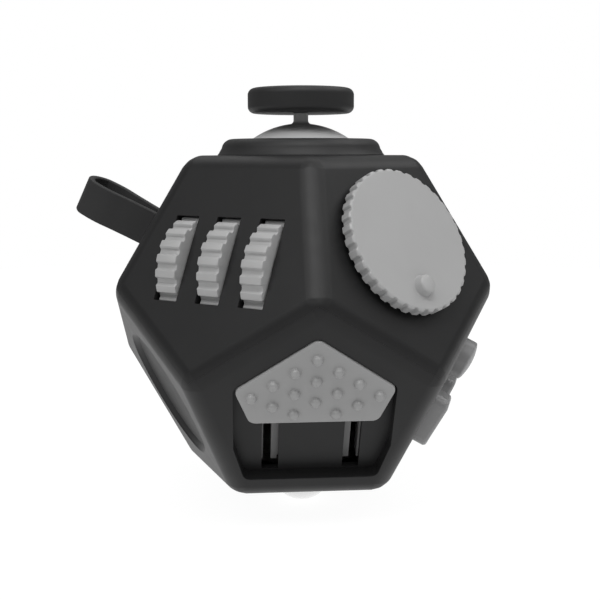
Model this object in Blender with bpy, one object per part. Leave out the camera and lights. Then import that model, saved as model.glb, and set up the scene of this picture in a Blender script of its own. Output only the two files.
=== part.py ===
"""A twelve-sided desk toy: a rounded dodecahedral case with a different finger mechanism on each face.

Lengths are in millimetres and become metres as a mesh is made. Every mechanism is drawn in the frame of its
own face: x to the right and y up as seen from outside, z out of the face, and z = 0 on the flat of the case.
"""

import math

import bmesh
import bpy
from mathutils import Matrix, Vector

MM = 0.001
GAP = 0.3                      # between pieces that touch

# The case
EDGE = 19.0                    # edge of the sharp dodecahedron
SIDE_DISTANCE = EDGE * math.sqrt((25 + 11 * math.sqrt(5)) / 40)
TOP_DISTANCE = SIDE_DISTANCE + 0.25
BOTTOM_DISTANCE = SIDE_DISTANCE + 0.31
EDGE_FILLET = 3.08
WALL = 2.4
TILT = math.atan(0.5)          # of the side faces from upright
INSIDE = -WALL - GAP           # where a piece may start behind the wall

# Where the assembly stands: on the ball, over the middle of its own bounding box
BALL_RADIUS = 4.3
BALL_SINK = -0.55               # its middle lies just outside the flat of the face
ASSEMBLY_X = 3.54
ASSEMBLY_Y = 0.0
ASSEMBLY_Z = BOTTOM_DISTANCE - BALL_SINK + BALL_RADIUS

# Joystick, heights from the middle of the case
PIVOT_Z = 14.34
DOME_RADIUS = 11.25
DOME_ANGLE = 60.0
CAP_RADIUS = 7.05
CAP_LOW = 26.88
CAP_HIGH = 30.17
CAP_EDGE = 0.9
STEM_RADIUS = 1.0
COLLAR_BASE = 11.1
COLLAR_TOP = 9.2
COLLAR_HEIGHT = 2.1
FRAME_LOW = 13.2
FRAME_HIGH = 15.3
POST_REACH = 12.6
TAIL_LENGTH = 5.0
CUP_RADIUS = 6.0
CUP_WALL = 0.75
CUP_LOW = 3.8
RING_REACH = 4.9               # outer radius of the gimbal ring

# Ridged wheels
WHEEL_RADIUS = 7.0
WHEEL_RIDGES = 23
RIDGE_DEPTH = 0.34
WHEEL_WIDTH = 3.0
WHEEL_PITCH = 6.24
WHEEL_Y = -0.33
WHEEL_Z = -5.05
WHEEL_SLOT = (3.42, 11.18)
WHEEL_SLOT_Y = -0.46
AXLE_RADIUS = 0.9

# Dial
DIAL_Y = 1.3
DIAL_RADIUS = 9.3
DIAL_SCALLOPS = 36
SCALLOP_DEPTH = 0.32
DIAL_LOW = 0.45
DIAL_HIGH = 2.05
NUB_BASE = 1.3
NUB_TOP = 1.15
NUB_HEIGHT = 1.1
NUB_PLACE = (-0.7, -6.1)        # from the dial's axis
DIAL_SHAFT = 2.0

# Slider
SLIDER_TRAVEL = 9.4
RECESS_DEPTH = 1.7
BLADE_X = 5.45
BLADE_WIDTH = 0.6
SLOT_X = (4.05, 6.15)
CHANNEL_X = (4.95, 5.95)
BUMP_RADIUS = 0.55
BUMP_COLUMN = 2.53
BUMP_ROW = 3.14
CHEVRON = math.radians(36)

# Button face
BUTTON_RADIUS = 2.7
BUTTON_Y = 5.1
KEY_X = 5.3
KEY_Y = -2.56
KEY_SIZE = (4.6, 7.0)
KEY_HEIGHT = 1.85
BUTTON_TRAVEL = 0.9

# Strap loop
STRAP_X = -1.0
STRAP_Y = 0.4
STRAP_WIDTH = 5.0
STRAP_THICKNESS = 0.9
STRAP_REACH = 14.7
STRAP_PIN_Z = -4.4

# Concave thumb rest
DISH_MOUTH = 8.95
DISH_FLOOR = 8.25              # radius of the gently hollow floor
DISH_STEP = 0.75               # height of the wall round it
DISH_SAG = 0.75

# Rocker, toggle, twist ring and push button
PIVOT_DEPTH = -4.0
ROCKER_LENGTH = 11.2
ROCKER_WIDTH = 6.0
ROCKER_THROW = 7.0
ROCKER_END = 4.7               # height of the rocker's ends and middle above its pin
ROCKER_MIDDLE = 4.15
TOGGLE_THROW = 20.0
RING_INNER = 4.8
RING_OUTER = 8.8
PUSH_RADIUS = 4.5

BODY_BLACK = (0.030, 0.030, 0.032)
SOFT_BLACK = (0.022, 0.022, 0.024)
MID_GREY = (0.34, 0.34, 0.34)
DARK_GREY = (0.16, 0.16, 0.165)
LIGHT_GREY = (0.50, 0.50, 0.51)
STEEL = (0.62, 0.62, 0.63)


# ---------------------------------------------------------------- scene and helpers

def clear_scene():
    for obj in list(bpy.data.objects):
        bpy.data.objects.remove(obj, do_unlink=True)


def material(name, colour, roughness, metallic=0.0):
    mat = bpy.data.materials.get(name) or bpy.data.materials.new(name)
    mat.use_nodes = True
    shader = mat.node_tree.nodes["Principled BSDF"]
    shader.inputs["Base Color"].default_value = (*colour, 1.0)
    shader.inputs["Roughness"].default_value = roughness
    shader.inputs["Metallic"].default_value = metallic
    return mat


def empty(name, parent=None, matrix=None):
    obj = bpy.data.objects.new(name, None)
    bpy.context.collection.objects.link(obj)
    obj.parent = parent
    if matrix is not None:
        obj.matrix_local = matrix
    return obj


def face_direction(row, azimuth):
    """Outward normal of a side face; azimuth is counted from -Y towards +X."""
    turn = math.radians(azimuth)
    lean = math.sin(TILT) * (1 if row == "upper" else -1)
    flat = math.cos(TILT)
    return Vector((math.sin(turn) * flat, -math.cos(turn) * flat, lean))


def face_frame(row, azimuth, parent):
    """An empty on the middle of a face, z outward and y up the face."""
    if row == "top":
        matrix = Matrix.Translation((0, 0, TOP_DISTANCE * MM))
    elif row == "bottom":
        matrix = Matrix.Translation((0, 0, -BOTTOM_DISTANCE * MM)) @ Matrix.Rotation(math.pi, 4, "X")
    else:
        turn = math.radians(azimuth)
        out = face_direction(row, azimuth)
        right = Vector((math.cos(turn), math.sin(turn), 0))
        up = out.cross(right)
        matrix = Matrix((right, up, out)).transposed().to_4x4()
        matrix.translation = out * SIDE_DISTANCE * MM
    return empty(f"{row}_face_{int(azimuth)}", parent, matrix)


def add(name, bm, parent, mat, place=(0, 0, 0), turn=(0, 0, 0), smooth=True):
    """Turns a bmesh drawn in millimetres into an object under parent."""
    bmesh.ops.scale(bm, vec=(MM, MM, MM), verts=bm.verts)
    bmesh.ops.recalc_face_normals(bm, faces=bm.faces)
    mesh = bpy.data.meshes.new(name)
    bm.to_mesh(mesh)
    bm.free()
    if smooth:
        mesh.shade_smooth()
        mesh.set_sharp_from_angle(angle=math.radians(35))
    obj = bpy.data.objects.new(name, mesh)
    bpy.context.collection.objects.link(obj)
    obj.parent = parent
    obj.location = [value * MM for value in place]
    obj.rotation_euler = [math.radians(value) for value in turn]
    if mat:
        obj.data.materials.append(mat)
    return obj


def tool(name, bm, parent, place=(0, 0, 0), turn=(0, 0, 0)):
    """A shape that only cuts or adds to another one."""
    obj = add(name, bm, parent, None, place, turn, smooth=False)
    obj.hide_render = True
    obj.display_type = "WIRE"
    return obj


def boolean(target, other, operation="DIFFERENCE"):
    mod = target.modifiers.new(other.name, "BOOLEAN")
    mod.object = other
    mod.operation = operation
    mod.solver = "EXACT"


def bevel(target, width, segments, angle=30.0):
    mod = target.modifiers.new("edges", "BEVEL")
    mod.width = width * MM
    mod.segments = segments
    mod.limit_method = "ANGLE"
    mod.angle_limit = math.radians(angle)


def prism(outline, low, high, holes=()):
    """An outline, with holes, drawn in x and y and extruded from z = low to z = high."""
    bm = bmesh.new()
    for loop in (outline, *holes):
        points = [bm.verts.new((x, y, low)) for x, y in loop]
        for i, point in enumerate(points):
            bm.edges.new((point, points[(i + 1) % len(points)]))
    if holes:
        bmesh.ops.triangle_fill(bm, edges=bm.edges, use_beauty=True)
    else:
        bm.faces.new(bm.verts)
    grown = bmesh.ops.extrude_face_region(bm, geom=bm.faces[:])["geom"]
    raised = [item for item in grown if isinstance(item, bmesh.types.BMVert)]
    bmesh.ops.translate(bm, verts=raised, vec=(0, 0, high - low))
    return bm


def box(size, middle=(0, 0, 0)):
    bm = bmesh.new()
    bmesh.ops.create_cube(bm, size=1.0)
    bmesh.ops.scale(bm, vec=size, verts=bm.verts)
    bmesh.ops.translate(bm, vec=middle, verts=bm.verts)
    return bm


def turned(profile, segments, closed=False):
    """A profile of (radius, z) points turned about z; closed for a ring with its own hole."""
    bm = bmesh.new()
    rings = []
    for radius, z in profile:
        count = segments if radius > 0 else 1
        step = 2 * math.pi / segments
        turns = [i * step for i in range(count)]
        rings.append([bm.verts.new((radius * math.cos(t), radius * math.sin(t), z)) for t in turns])
    pairs = list(zip(rings, rings[1:]))
    if closed:
        pairs.append((rings[-1], rings[0]))
    for ring, following in pairs:
        for i in range(segments):
            j = (i + 1) % segments
            corners = [ring[i % len(ring)], ring[j % len(ring)]]
            corners += [following[j % len(following)], following[i % len(following)]]
            unique = list(dict.fromkeys(corners))
            if len(unique) > 2:
                bm.faces.new(unique)
    return bm


def rod(radius, low, high, segments=12):
    return turned([(0, low), (radius, low), (radius, high), (0, high)], segments)


def tube(outer, inner, low, high, segments=16):
    return turned([(inner, low), (outer, low), (outer, high), (inner, high)], segments, closed=True)


def circle(radius, count, middle=(0, 0)):
    turns = [2 * math.pi * i / count for i in range(count)]
    return [(middle[0] + radius * math.cos(t), middle[1] + radius * math.sin(t)) for t in turns]


def arc(radius, start, end, count, middle=(0, 0)):
    """Points from start to end degrees."""
    turns = [math.radians(start + (end - start) * i / (count - 1)) for i in range(count)]
    return [(middle[0] + radius * math.cos(t), middle[1] + radius * math.sin(t)) for t in turns]


def rounded(corners, radius, count=3):
    """The outline through corners, each one rounded with the given radius."""
    points = []
    for i, corner in enumerate(corners):
        here = Vector(corner)
        back = (Vector(corners[i - 1]) - here).normalized()
        ahead = (Vector(corners[(i + 1) % len(corners)]) - here).normalized()
        half = back.angle(ahead) / 2
        middle = here + (back + ahead).normalized() * radius / math.sin(half)
        first = (here + back * radius / math.tan(half) - middle).normalized()
        last = (here + ahead * radius / math.tan(half) - middle).normalized()
        for k in range(count + 1):
            points.append(tuple(middle + first.slerp(last, k / count) * radius))
    return points


def rounded_box_outline(width, height, radius, middle=(0, 0)):
    x, y = width / 2, height / 2
    corners = [(x, y), (-x, y), (-x, -y), (x, -y)]
    return rounded([(a + middle[0], b + middle[1]) for a, b in corners], radius)


def waved_circle(radius, depth, waves, per_wave=4):
    """A circle whose rim rises and falls in even rounded ridges."""
    count = waves * per_wave
    points = []
    for i in range(count):
        turn = 2 * math.pi * i / count
        reach = radius - depth * (0.5 - 0.5 * math.cos(turn * waves))
        points.append((reach * math.cos(turn), reach * math.sin(turn)))
    return points


def coil(radius, wire, turns, length, per_turn=8, sides=5):
    """A helical spring of round wire standing on z = 0."""
    bm = bmesh.new()
    rings = []
    count = int(turns * per_turn)
    rise = length - 2 * wire
    for i in range(count + 1):
        turn = 2 * math.pi * i / per_turn
        middle = Vector((radius * math.cos(turn), radius * math.sin(turn), wire + rise * i / count))
        outward = Vector((math.cos(turn), math.sin(turn), 0))
        ring = []
        for k in range(sides):
            spin = 2 * math.pi * k / sides
            offset = outward * math.cos(spin) * wire + Vector((0, 0, math.sin(spin) * wire))
            ring.append(bm.verts.new(middle + offset))
        rings.append(ring)
    for ring, following in zip(rings, rings[1:]):
        for k in range(sides):
            j = (k + 1) % sides
            bm.faces.new((ring[k], ring[j], following[j], following[k]))
    bm.faces.new(rings[0])
    bm.faces.new(rings[-1])
    return bm


def dome_points(radius, centre_z, start, end, count):
    """(radius, z) points of a circle about (0, centre_z), angles in degrees from straight up."""
    turns = [math.radians(start + (end - start) * i / (count - 1)) for i in range(count)]
    return [(max(0.0, radius * math.sin(t)), centre_z + radius * math.cos(t)) for t in turns]


# ---------------------------------------------------------------- case

def dodecahedron(inset=0.0):
    """The twelve-sided solid, each face moved in by inset."""
    bm = box((80, 80, 80))
    planes = [(Vector((0, 0, 1)), TOP_DISTANCE), (Vector((0, 0, -1)), BOTTOM_DISTANCE)]
    for i in range(5):
        planes.append((face_direction("upper", 36 + 72 * i), SIDE_DISTANCE))
        planes.append((face_direction("lower", 72 * i), SIDE_DISTANCE))
    for normal, distance in planes:
        whole = bm.verts[:] + bm.edges[:] + bm.faces[:]
        middle = normal * (distance - inset)
        cut = bmesh.ops.bisect_plane(bm, geom=whole, plane_co=middle, plane_no=normal, clear_outer=True)
        rim = [item for item in cut["geom_cut"] if isinstance(item, bmesh.types.BMEdge)]
        bmesh.ops.holes_fill(bm, edges=rim)
    return bm


def split_tool(parent, upward):
    """Everything beyond the zigzag of side edges, above or below, with half the gap added."""
    sign = 1 if upward else -1
    lift = -sign * GAP / 2
    bm = bmesh.new()
    middle = bm.verts.new((0, 0, lift))
    zigzag = []
    far = []
    reach = 40.0
    slope = math.tan(math.radians(10.8123))
    for i in range(10):
        turn = math.radians(36 * i)
        level = reach * slope * (1 if i % 2 == 0 else -1)
        x, y = reach * math.sin(turn), -reach * math.cos(turn)
        zigzag.append(bm.verts.new((x, y, level + lift)))
        far.append(bm.verts.new((x, y, sign * 60.0)))
    for i in range(10):
        j = (i + 1) % 10
        bm.faces.new((middle, zigzag[i], zigzag[j]))
        bm.faces.new((zigzag[i], zigzag[j], far[j], far[i]))
    bm.faces.new(far)
    return tool("split_above" if upward else "split_below", bm, parent)


def shell(name, parent, beyond, mat):
    obj = add(name, dodecahedron(), parent, mat)
    bevel(obj, EDGE_FILLET / math.tan(math.radians(116.565 / 2)), 3)
    boolean(obj, bpy.data.objects["cavity"])
    boolean(obj, beyond)
    return obj


def make_case(parent):
    mat = material("case_plastic", BODY_BLACK, 0.45)
    tool("cavity", dodecahedron(WALL), parent)
    upper = shell("upper_shell", parent, split_tool(parent, False), mat)
    lower = shell("lower_shell", parent, split_tool(parent, True), mat)
    return upper, lower


# ---------------------------------------------------------------- joystick on the top face

def make_joystick(parent, upper):
    """Drawn about the pivot, which lies on the axis of the case."""
    pivot = empty("joystick_pivot", parent, Matrix.Translation((0, 0, PIVOT_Z * MM)))
    black = material("grip_plastic", SOFT_BLACK, 0.5)
    grey = material("dome_plastic", LIGHT_GREY, 0.25)
    metal = material("steel", STEEL, 0.35, 1.0)
    nylon = material("inner_plastic", MID_GREY, 0.5)
    boolean(upper, tool("socket_hole", turned(dome_points(DOME_RADIUS + GAP, 0, 0, 180, 13), 32), pivot))

    seat = TOP_DISTANCE + GAP / 3 - PIVOT_Z
    crest = TOP_DISTANCE + COLLAR_HEIGHT - PIVOT_Z
    clear = DOME_RADIUS + 0.22
    inner_top = math.sqrt(clear ** 2 - crest ** 2)
    inner_low = math.sqrt(clear ** 2 - seat ** 2)
    inner_mid = math.sqrt(clear ** 2 - ((seat + crest) / 2) ** 2)
    profile = [(inner_low, seat), (COLLAR_BASE, seat), (COLLAR_BASE - 0.35, seat + 0.9)]
    profile += [(COLLAR_TOP + 0.75, crest - 0.25), (COLLAR_TOP, crest), (inner_top + 0.15, crest)]
    profile += [(inner_mid + 0.1, (seat + crest) / 2)]
    add("joystick_collar", turned(profile, 32, closed=True), pivot, black)

    make_stick(pivot, black, grey)
    make_gimbal(pivot, nylon, metal)


def make_stick(pivot, black, grey):
    crown = math.degrees(math.asin(STEM_RADIUS / DOME_RADIUS))
    stem_top = CAP_LOW + 1.8 - PIVOT_Z
    inner = DOME_RADIUS - 1.2
    profile = [(0, -TAIL_LENGTH), (2.0, -TAIL_LENGTH), (2.0, -TAIL_LENGTH + 0.8), (1.3, -TAIL_LENGTH + 1.2)]
    profile += [(1.3, inner - 0.6)]
    profile += dome_points(inner, 0, 12, DOME_ANGLE, 6)
    profile += dome_points(DOME_RADIUS, 0, DOME_ANGLE, crown, 8)
    profile += [(STEM_RADIUS, stem_top), (0, stem_top)]
    stick = add("joystick_stick", turned(profile, 24), pivot, grey)
    pin = tool("stick_cross_pin", rod(0.5, -RING_REACH, RING_REACH), pivot, turn=(90, 0, 0))
    boolean(stick, pin, "UNION")

    low, high = CAP_LOW - PIVOT_Z, CAP_HIGH - PIVOT_Z
    rim = CAP_RADIUS - CAP_EDGE
    socket = STEM_RADIUS + GAP
    profile = [(0, stem_top + GAP), (socket, stem_top + GAP), (socket, low), (rim, low)]
    profile += arc(CAP_EDGE, -60, 0, 3, (rim, low + CAP_EDGE))
    profile += arc(CAP_EDGE, 0, 60, 3, (rim, high - CAP_EDGE))
    profile += [(rim - 0.3, high), (0, high - 0.25)]
    add("joystick_cap", turned(profile, 32), pivot, black)


def spoked_outline(radius, reach, half_width, directions):
    """A disc with straight arms; directions in degrees, rising."""
    points = []
    start = math.degrees(math.asin(half_width / radius))
    for i, direction in enumerate(directions):
        turn = math.radians(direction)
        along = Vector((math.cos(turn), math.sin(turn)))
        side = Vector((-along.y, along.x))
        points.append(tuple(along * reach - side * half_width))
        points.append(tuple(along * reach + side * half_width))
        following = directions[(i + 1) % len(directions)]
        gap = (following - direction) % 360
        points += arc(radius, direction + start, direction + gap - start, 9)
    return points


def make_gimbal(pivot, nylon, metal):
    low, high = FRAME_LOW - PIVOT_Z, FRAME_HIGH - PIVOT_Z
    directions = [-90 + 144 * i for i in (0, 1)] + [-90 + 216]
    outline = spoked_outline(9.4, POST_REACH + 0.9, 1.0, directions)
    frame = add("joystick_frame", prism(outline, low, high, [circle(6.2, 24)]), pivot, nylon)
    for i, direction in enumerate(directions):
        turn = math.radians(direction)
        place = (POST_REACH * math.cos(turn), POST_REACH * math.sin(turn), 0)
        post_top = TOP_DISTANCE - WALL - GAP - PIVOT_Z
        boolean(frame, tool(f"frame_post_{i + 1}", rod(0.85, low + 0.4, post_top, 10), pivot, place), "UNION")
    boolean(frame, tool("frame_pin_hole", rod(0.72, -8.0, 8.0), pivot, turn=(0, 90, 0)))

    ring = add("joystick_gimbal_ring", tube(RING_REACH, RING_REACH - 1.1, -0.9, 0.9, 24), pivot, nylon)
    for side in (-1, 1):
        span = (4.5, 7.4) if side > 0 else (-7.4, -4.5)
        pin = tool(f"ring_pin_{'right' if side > 0 else 'left'}", rod(0.5, *span), pivot, turn=(0, 90, 0))
        boolean(ring, pin, "UNION")
    boolean(ring, tool("ring_cross_hole", rod(0.72, -6.0, 6.0), pivot, turn=(90, 0, 0)))

    floor = CUP_LOW - PIVOT_Z
    rim = low - GAP
    profile = [(0, floor), (CUP_RADIUS, floor), (CUP_RADIUS, rim - 1.0), (8.6, rim - 1.0), (8.6, rim)]
    profile += [(CUP_RADIUS - CUP_WALL, rim), (CUP_RADIUS - CUP_WALL, floor + 1.0), (0, floor + 1.0)]
    cup = add("joystick_spring_cup", turned(profile, 24), pivot, nylon)
    for i in range(3):
        turn = math.radians(30 + 120 * i)
        place = (7.3 * math.cos(turn), 7.3 * math.sin(turn), 0)
        boolean(cup, tool(f"cup_screw_hole_{i + 1}", rod(0.85, rim - 2, rim + 1, 10), pivot, place))
        boolean(frame, tool(f"frame_screw_hole_{i + 1}", rod(0.85, low - 1, high - 0.5, 10), pivot, place))
        screw(f"joystick_cup_screw_{i + 1}", pivot, metal, place[0], place[1], rim - 1.0 - GAP, 2.6)

    plate_top = -TAIL_LENGTH - 0.45
    add("joystick_centering_plate", rod(3.4, plate_top - 0.8, plate_top, 16), pivot, nylon)
    spring_low = floor + 1.0 + GAP / 2
    length = plate_top - 0.8 - GAP / 2 - spring_low
    add("joystick_return_spring", coil(2.5, 0.3, 2.5, length), pivot, metal, (0, 0, spring_low))


def screw(name, parent, mat, x, y, under_head, length):
    """A pan-head screw whose shank points to +z from under_head."""
    profile = [(0, -0.9), (1.1, -0.9), (1.35, -0.4), (1.35, 0), (0.55, 0), (0.55, length - 0.4), (0, length)]
    return add(name, turned(profile, 10), parent, mat, (x, y, under_head))


# ---------------------------------------------------------------- three ridged wheels

def make_wheels(face, upper):
    grey = material("wheel_plastic", LIGHT_GREY, 0.35)
    metal = material("steel", STEEL, 0.35, 1.0)
    nylon = material("inner_plastic", MID_GREY, 0.5)
    axis = empty("wheel_axis", face, Matrix.Translation((0, WHEEL_Y * MM, WHEEL_Z * MM)) @
                 Matrix.Rotation(math.pi / 2, 4, "Y"))
    names = ("left", "middle", "right")
    for i, name in enumerate(names):
        x = (i - 1) * WHEEL_PITCH
        slot = box((WHEEL_SLOT[0], WHEEL_SLOT[1], 8.0), (x, WHEEL_SLOT_Y, 0))
        boolean(upper, tool(f"wheel_slot_{name}", slot, face))
        sweep = rod(WHEEL_RADIUS + GAP, x - WHEEL_SLOT[0] / 2, x + WHEEL_SLOT[0] / 2, 32)
        boolean(upper, tool(f"wheel_sweep_{name}", sweep, axis))
        rim = waved_circle(WHEEL_RADIUS, RIDGE_DEPTH, WHEEL_RIDGES)
        body = prism(rim, -WHEEL_WIDTH / 2, WHEEL_WIDTH / 2, [circle(AXLE_RADIUS + 0.25, 12)])
        add(f"gear_wheel_{name}", body, axis, grey, (0, 0, x))
    for name, x in (("left", -WHEEL_PITCH / 2), ("right", WHEEL_PITCH / 2)):
        half = (WHEEL_PITCH - WHEEL_WIDTH) / 2 - GAP
        add(f"gear_spacer_{name}", tube(2.0, AXLE_RADIUS + 0.25, -half, half, 12), axis, nylon, (0, 0, x))
    add("gear_axle", rod(AXLE_RADIUS, -9.6, 9.6), axis, metal)
    wheel_edge = WHEEL_PITCH + WHEEL_WIDTH / 2
    for name, side in (("left", -1), ("right", 1)):
        x = side * (wheel_edge + GAP + 0.8)
        ear = box((1.6, 4.6, 5.0), (x, WHEEL_Y, INSIDE - 2.5))
        obj = add(f"gear_bearing_{name}", ear, face, nylon, smooth=False)
        hole = tool(f"bearing_hole_{name}", rod(AXLE_RADIUS + 0.25, -12, 12), axis)
        boolean(obj, hole)


# ---------------------------------------------------------------- dial

def make_dial(face, upper):
    grey = material("dial_plastic", MID_GREY, 0.4)
    metal = material("steel", STEEL, 0.35, 1.0)
    axis = empty("dial_axis", face, Matrix.Translation((0, DIAL_Y * MM, 0)))
    boolean(upper, tool("dial_hole", rod(DIAL_SHAFT + GAP, -6, 3, 16), axis))
    disc = add("dial_disc", prism(waved_circle(DIAL_RADIUS, SCALLOP_DEPTH, DIAL_SCALLOPS), DIAL_LOW, DIAL_HIGH),
               axis, grey)
    groove = (INSIDE - 0.2, INSIDE - 1.2)
    profile = [(0, -5.0), (DIAL_SHAFT - 0.4, -5.0), (DIAL_SHAFT, -4.6), (DIAL_SHAFT, groove[1])]
    profile += [(1.4, groove[1]), (1.4, groove[0]), (DIAL_SHAFT, groove[0]), (DIAL_SHAFT, 1.2), (0, 1.2)]
    boolean(disc, tool("dial_shaft", turned(profile, 16), axis), "UNION")
    top = DIAL_HIGH + NUB_HEIGHT
    profile = [(0, DIAL_HIGH - 0.5), (NUB_BASE, DIAL_HIGH - 0.5), (NUB_BASE, DIAL_HIGH), (NUB_TOP, top - 0.35)]
    profile += [(NUB_TOP - 0.12, top - 0.15), (NUB_TOP - 0.4, top - 0.04), (0, top)]
    boolean(disc, tool("dial_nub", turned(profile, 16), axis, (*NUB_PLACE, 0)), "UNION")

    outline = arc(3.6, -150, 150, 13) + arc(1.7, 150, -150, 11)
    clip = prism(outline, groove[1] + 0.2, groove[0] - 0.2)
    add("dial_retaining_clip", clip, axis, metal, smooth=False)


# ---------------------------------------------------------------- slider

def plate_outline(grow=0.0, drop=0.0):
    """The five-sided thumb plate, or with drop the space that it sweeps."""
    x, low = 9.62 + grow, (-0.9 if drop else -0.75) - grow
    shoulder = 4.3
    apex = 11.62 + 1.25 * grow
    corners = [(0, apex), (-x, shoulder)]
    if drop:
        foot = 8.25 + grow
        corners += [(-x, shoulder - drop), (-foot, low - drop), (foot, low - drop), (x, shoulder - drop)]
    else:
        corners += [(-7.75, low), (7.75, low)]
    corners.append((x, shoulder))
    return rounded(corners, 1.1)


def make_slider(face, lower):
    grey = material("slider_plastic", MID_GREY, 0.45)
    nylon = material("inner_plastic", MID_GREY, 0.5)
    recess = prism(plate_outline(0.2, SLIDER_TRAVEL), -RECESS_DEPTH, 3.0)
    boolean(lower, tool("slider_recess", recess, face))
    for name, side in (("left", -1), ("right", 1)):
        middle = side * sum(SLOT_X) / 2
        slot = box((SLOT_X[1] - SLOT_X[0], 13.35, 6.0), (middle, -10.05 + 13.35 / 2, -RECESS_DEPTH))
        boolean(lower, tool(f"slider_slot_{name}", slot, face))

    plate_low = -RECESS_DEPTH + 0.2
    plate = add("slider_plate", prism(plate_outline(), plate_low, 0.3), face, grey)
    blade_low = -6.0
    for name, side in (("left", -1), ("right", 1)):
        size = (BLADE_WIDTH, 3.2, -0.6 - blade_low)
        blade = box(size, (side * BLADE_X, 1.3, (blade_low - 0.6) / 2))
        boolean(plate, tool(f"plate_blade_{name}", blade, face), "UNION")
    boolean(plate, tool("plate_bumps", bump_field(), face), "UNION")

    carriage = prism(rounded_box_outline(13.2, 4.6, 0.8, (0, 1.3)), -5.9, -5.1)
    obj = add("slider_carriage", carriage, face, nylon)
    for name, side in (("left", -1), ("right", 1)):
        pocket = box((BLADE_WIDTH + 0.3, 3.5, 3.0), (side * BLADE_X, 1.3, -5.5))
        boolean(obj, tool(f"carriage_slot_{name}", pocket, face))

    inner, outer = CHANNEL_X
    low, notch, high, side = -9.3, 3.5, 5.0, 7.6
    step, step_low = 4.2, -8.7     # room for the flange of the ball's socket
    comb = [(-side, low), (-outer, low), (-outer, notch), (-inner, notch), (-inner, low), (-step, low)]
    comb += [(-step, step_low), (step, step_low), (step, low), (inner, low), (inner, notch)]
    comb += [(outer, notch), (outer, low), (side, low), (side, high), (-side, high)]
    add("slider_guide", prism(comb, -4.7, INSIDE), face, nylon, smooth=False)


def bump_field():
    """Domes in chevron rows, five columns either side of the middle line at most."""
    bm = bmesh.new()
    for row, reach in enumerate((3, 2, 1)):
        for column in range(-reach, reach + 1):
            x = column * BUMP_COLUMN
            y = 8.8 - row * BUMP_ROW - abs(x) * math.tan(CHEVRON)
            place = Matrix.Translation((x, y, 0.3))
            bmesh.ops.create_uvsphere(bm, u_segments=8, v_segments=6, radius=BUMP_RADIUS, matrix=place)
    return bm


# ---------------------------------------------------------------- button face

def make_buttons(face, lower):
    grey = material("button_plastic", DARK_GREY, 0.4)
    metal = material("steel", STEEL, 0.35, 1.0)
    nylon = material("inner_plastic", MID_GREY, 0.5)
    flange_low, flange_high = INSIDE - 1.3, INSIDE - 0.1
    stop = flange_low - 2.2

    axis = empty("button_axis", face, Matrix.Translation((0, BUTTON_Y * MM, 0)))
    boolean(lower, tool("button_hole", rod(BUTTON_RADIUS + 0.2, -5, 3, 20), axis))
    dome = 0.4
    sphere = (BUTTON_RADIUS ** 2 + dome ** 2) / (2 * dome)
    top = 1.8
    half = math.degrees(math.asin((BUTTON_RADIUS - 0.2) / sphere))
    profile = [(0, flange_low), (3.2, flange_low), (3.2, flange_high), (BUTTON_RADIUS, flange_high)]
    profile += [(BUTTON_RADIUS, top - 0.15)]
    profile += dome_points(sphere, top + dome - sphere, half, 0, 4)
    add("round_button", turned(profile, 20), axis, grey)
    add("round_button_spring", coil(1.8, 0.25, 2, 1.9), axis, metal, (0, 0, stop + 0.15))

    for name, side in (("left", -1), ("right", 1)):
        place = empty(f"key_place_{name}", face, Matrix.Translation((side * KEY_X * MM, KEY_Y * MM, 0)))
        hole = prism(rounded_box_outline(KEY_SIZE[0] + 0.4, KEY_SIZE[1] + 0.4, 1.2), -5, 3)
        boolean(lower, tool(f"key_hole_{name}", hole, place))
        key = add(f"click_key_{name}", key_body(flange_high, side < 0), place, grey)
        corners = prism(rounded_box_outline(*KEY_SIZE, 1.2), -5, 5)
        boolean(key, tool(f"key_corners_{name}", corners, place), "INTERSECT")
        wide = rounded_box_outline(KEY_SIZE[0] + 1.4, KEY_SIZE[1] + 1.4, 1.2)
        flange = prism(wide, flange_low, flange_high + 0.02)
        boolean(key, tool(f"key_flange_{name}", flange, place), "UNION")
        spring = coil(1.6, 0.25, 2, 1.9)
        add(f"click_key_spring_{name}", spring, place, metal, (0, 0, stop + 0.15))

    corners = [(-3.6, 8.9), (3.6, 8.9), (8.7, -1.0), (7.9, -7.1), (-7.9, -7.1), (-8.7, -1.0)]
    plate = add("button_backplate", prism(rounded(corners[::-1], 1.0), stop - 1.2, stop), face, nylon)
    for i, (x, y) in enumerate(((0, -6.1), (-5.9, 3.1), (5.9, 3.1))):
        boolean(plate, tool(f"backplate_hole_{i + 1}", rod(0.85, stop - 3, stop + 1, 10), face, (x, y, 0)))
        screw(f"button_backplate_screw_{i + 1}", face, metal, x, y, stop - 1.2 - GAP, 4.0)


def key_body(low, humped):
    """A key with rounded long edges; the humped one has a crest at its upper end."""
    half = KEY_SIZE[1] / 2
    bm = bmesh.new()
    side = [(-half, low), (-half, KEY_HEIGHT - 0.3), (-half + 0.3, KEY_HEIGHT)]
    if humped:
        side += [(0.9, KEY_HEIGHT), (1.5, KEY_HEIGHT + 0.22), (2.3, KEY_HEIGHT + 0.3), (3.2, KEY_HEIGHT + 0.12)]
    side += [(half - 0.3, KEY_HEIGHT - 0.05), (half, KEY_HEIGHT - 0.4), (half, low)]
    across = KEY_SIZE[0] / 2
    ends = []
    for x in (-across, across):
        ends.append([bm.verts.new((x, y, z)) for y, z in side])
    for i in range(len(side)):
        j = (i + 1) % len(side)
        bm.faces.new((ends[0][i], ends[0][j], ends[1][j], ends[1][i]))
    bm.faces.new(ends[0])
    bm.faces.new(ends[1])
    return bm


# ---------------------------------------------------------------- strap loop

def loop_half_width(z):
    """Half the width of the folded band at height z, to the middle of its thickness."""
    share = max(0.0, min(1.0, (z + 1.0) / (10.4 + 1.0)))
    return 1.15 + 1.75 * share ** 1.6


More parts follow.
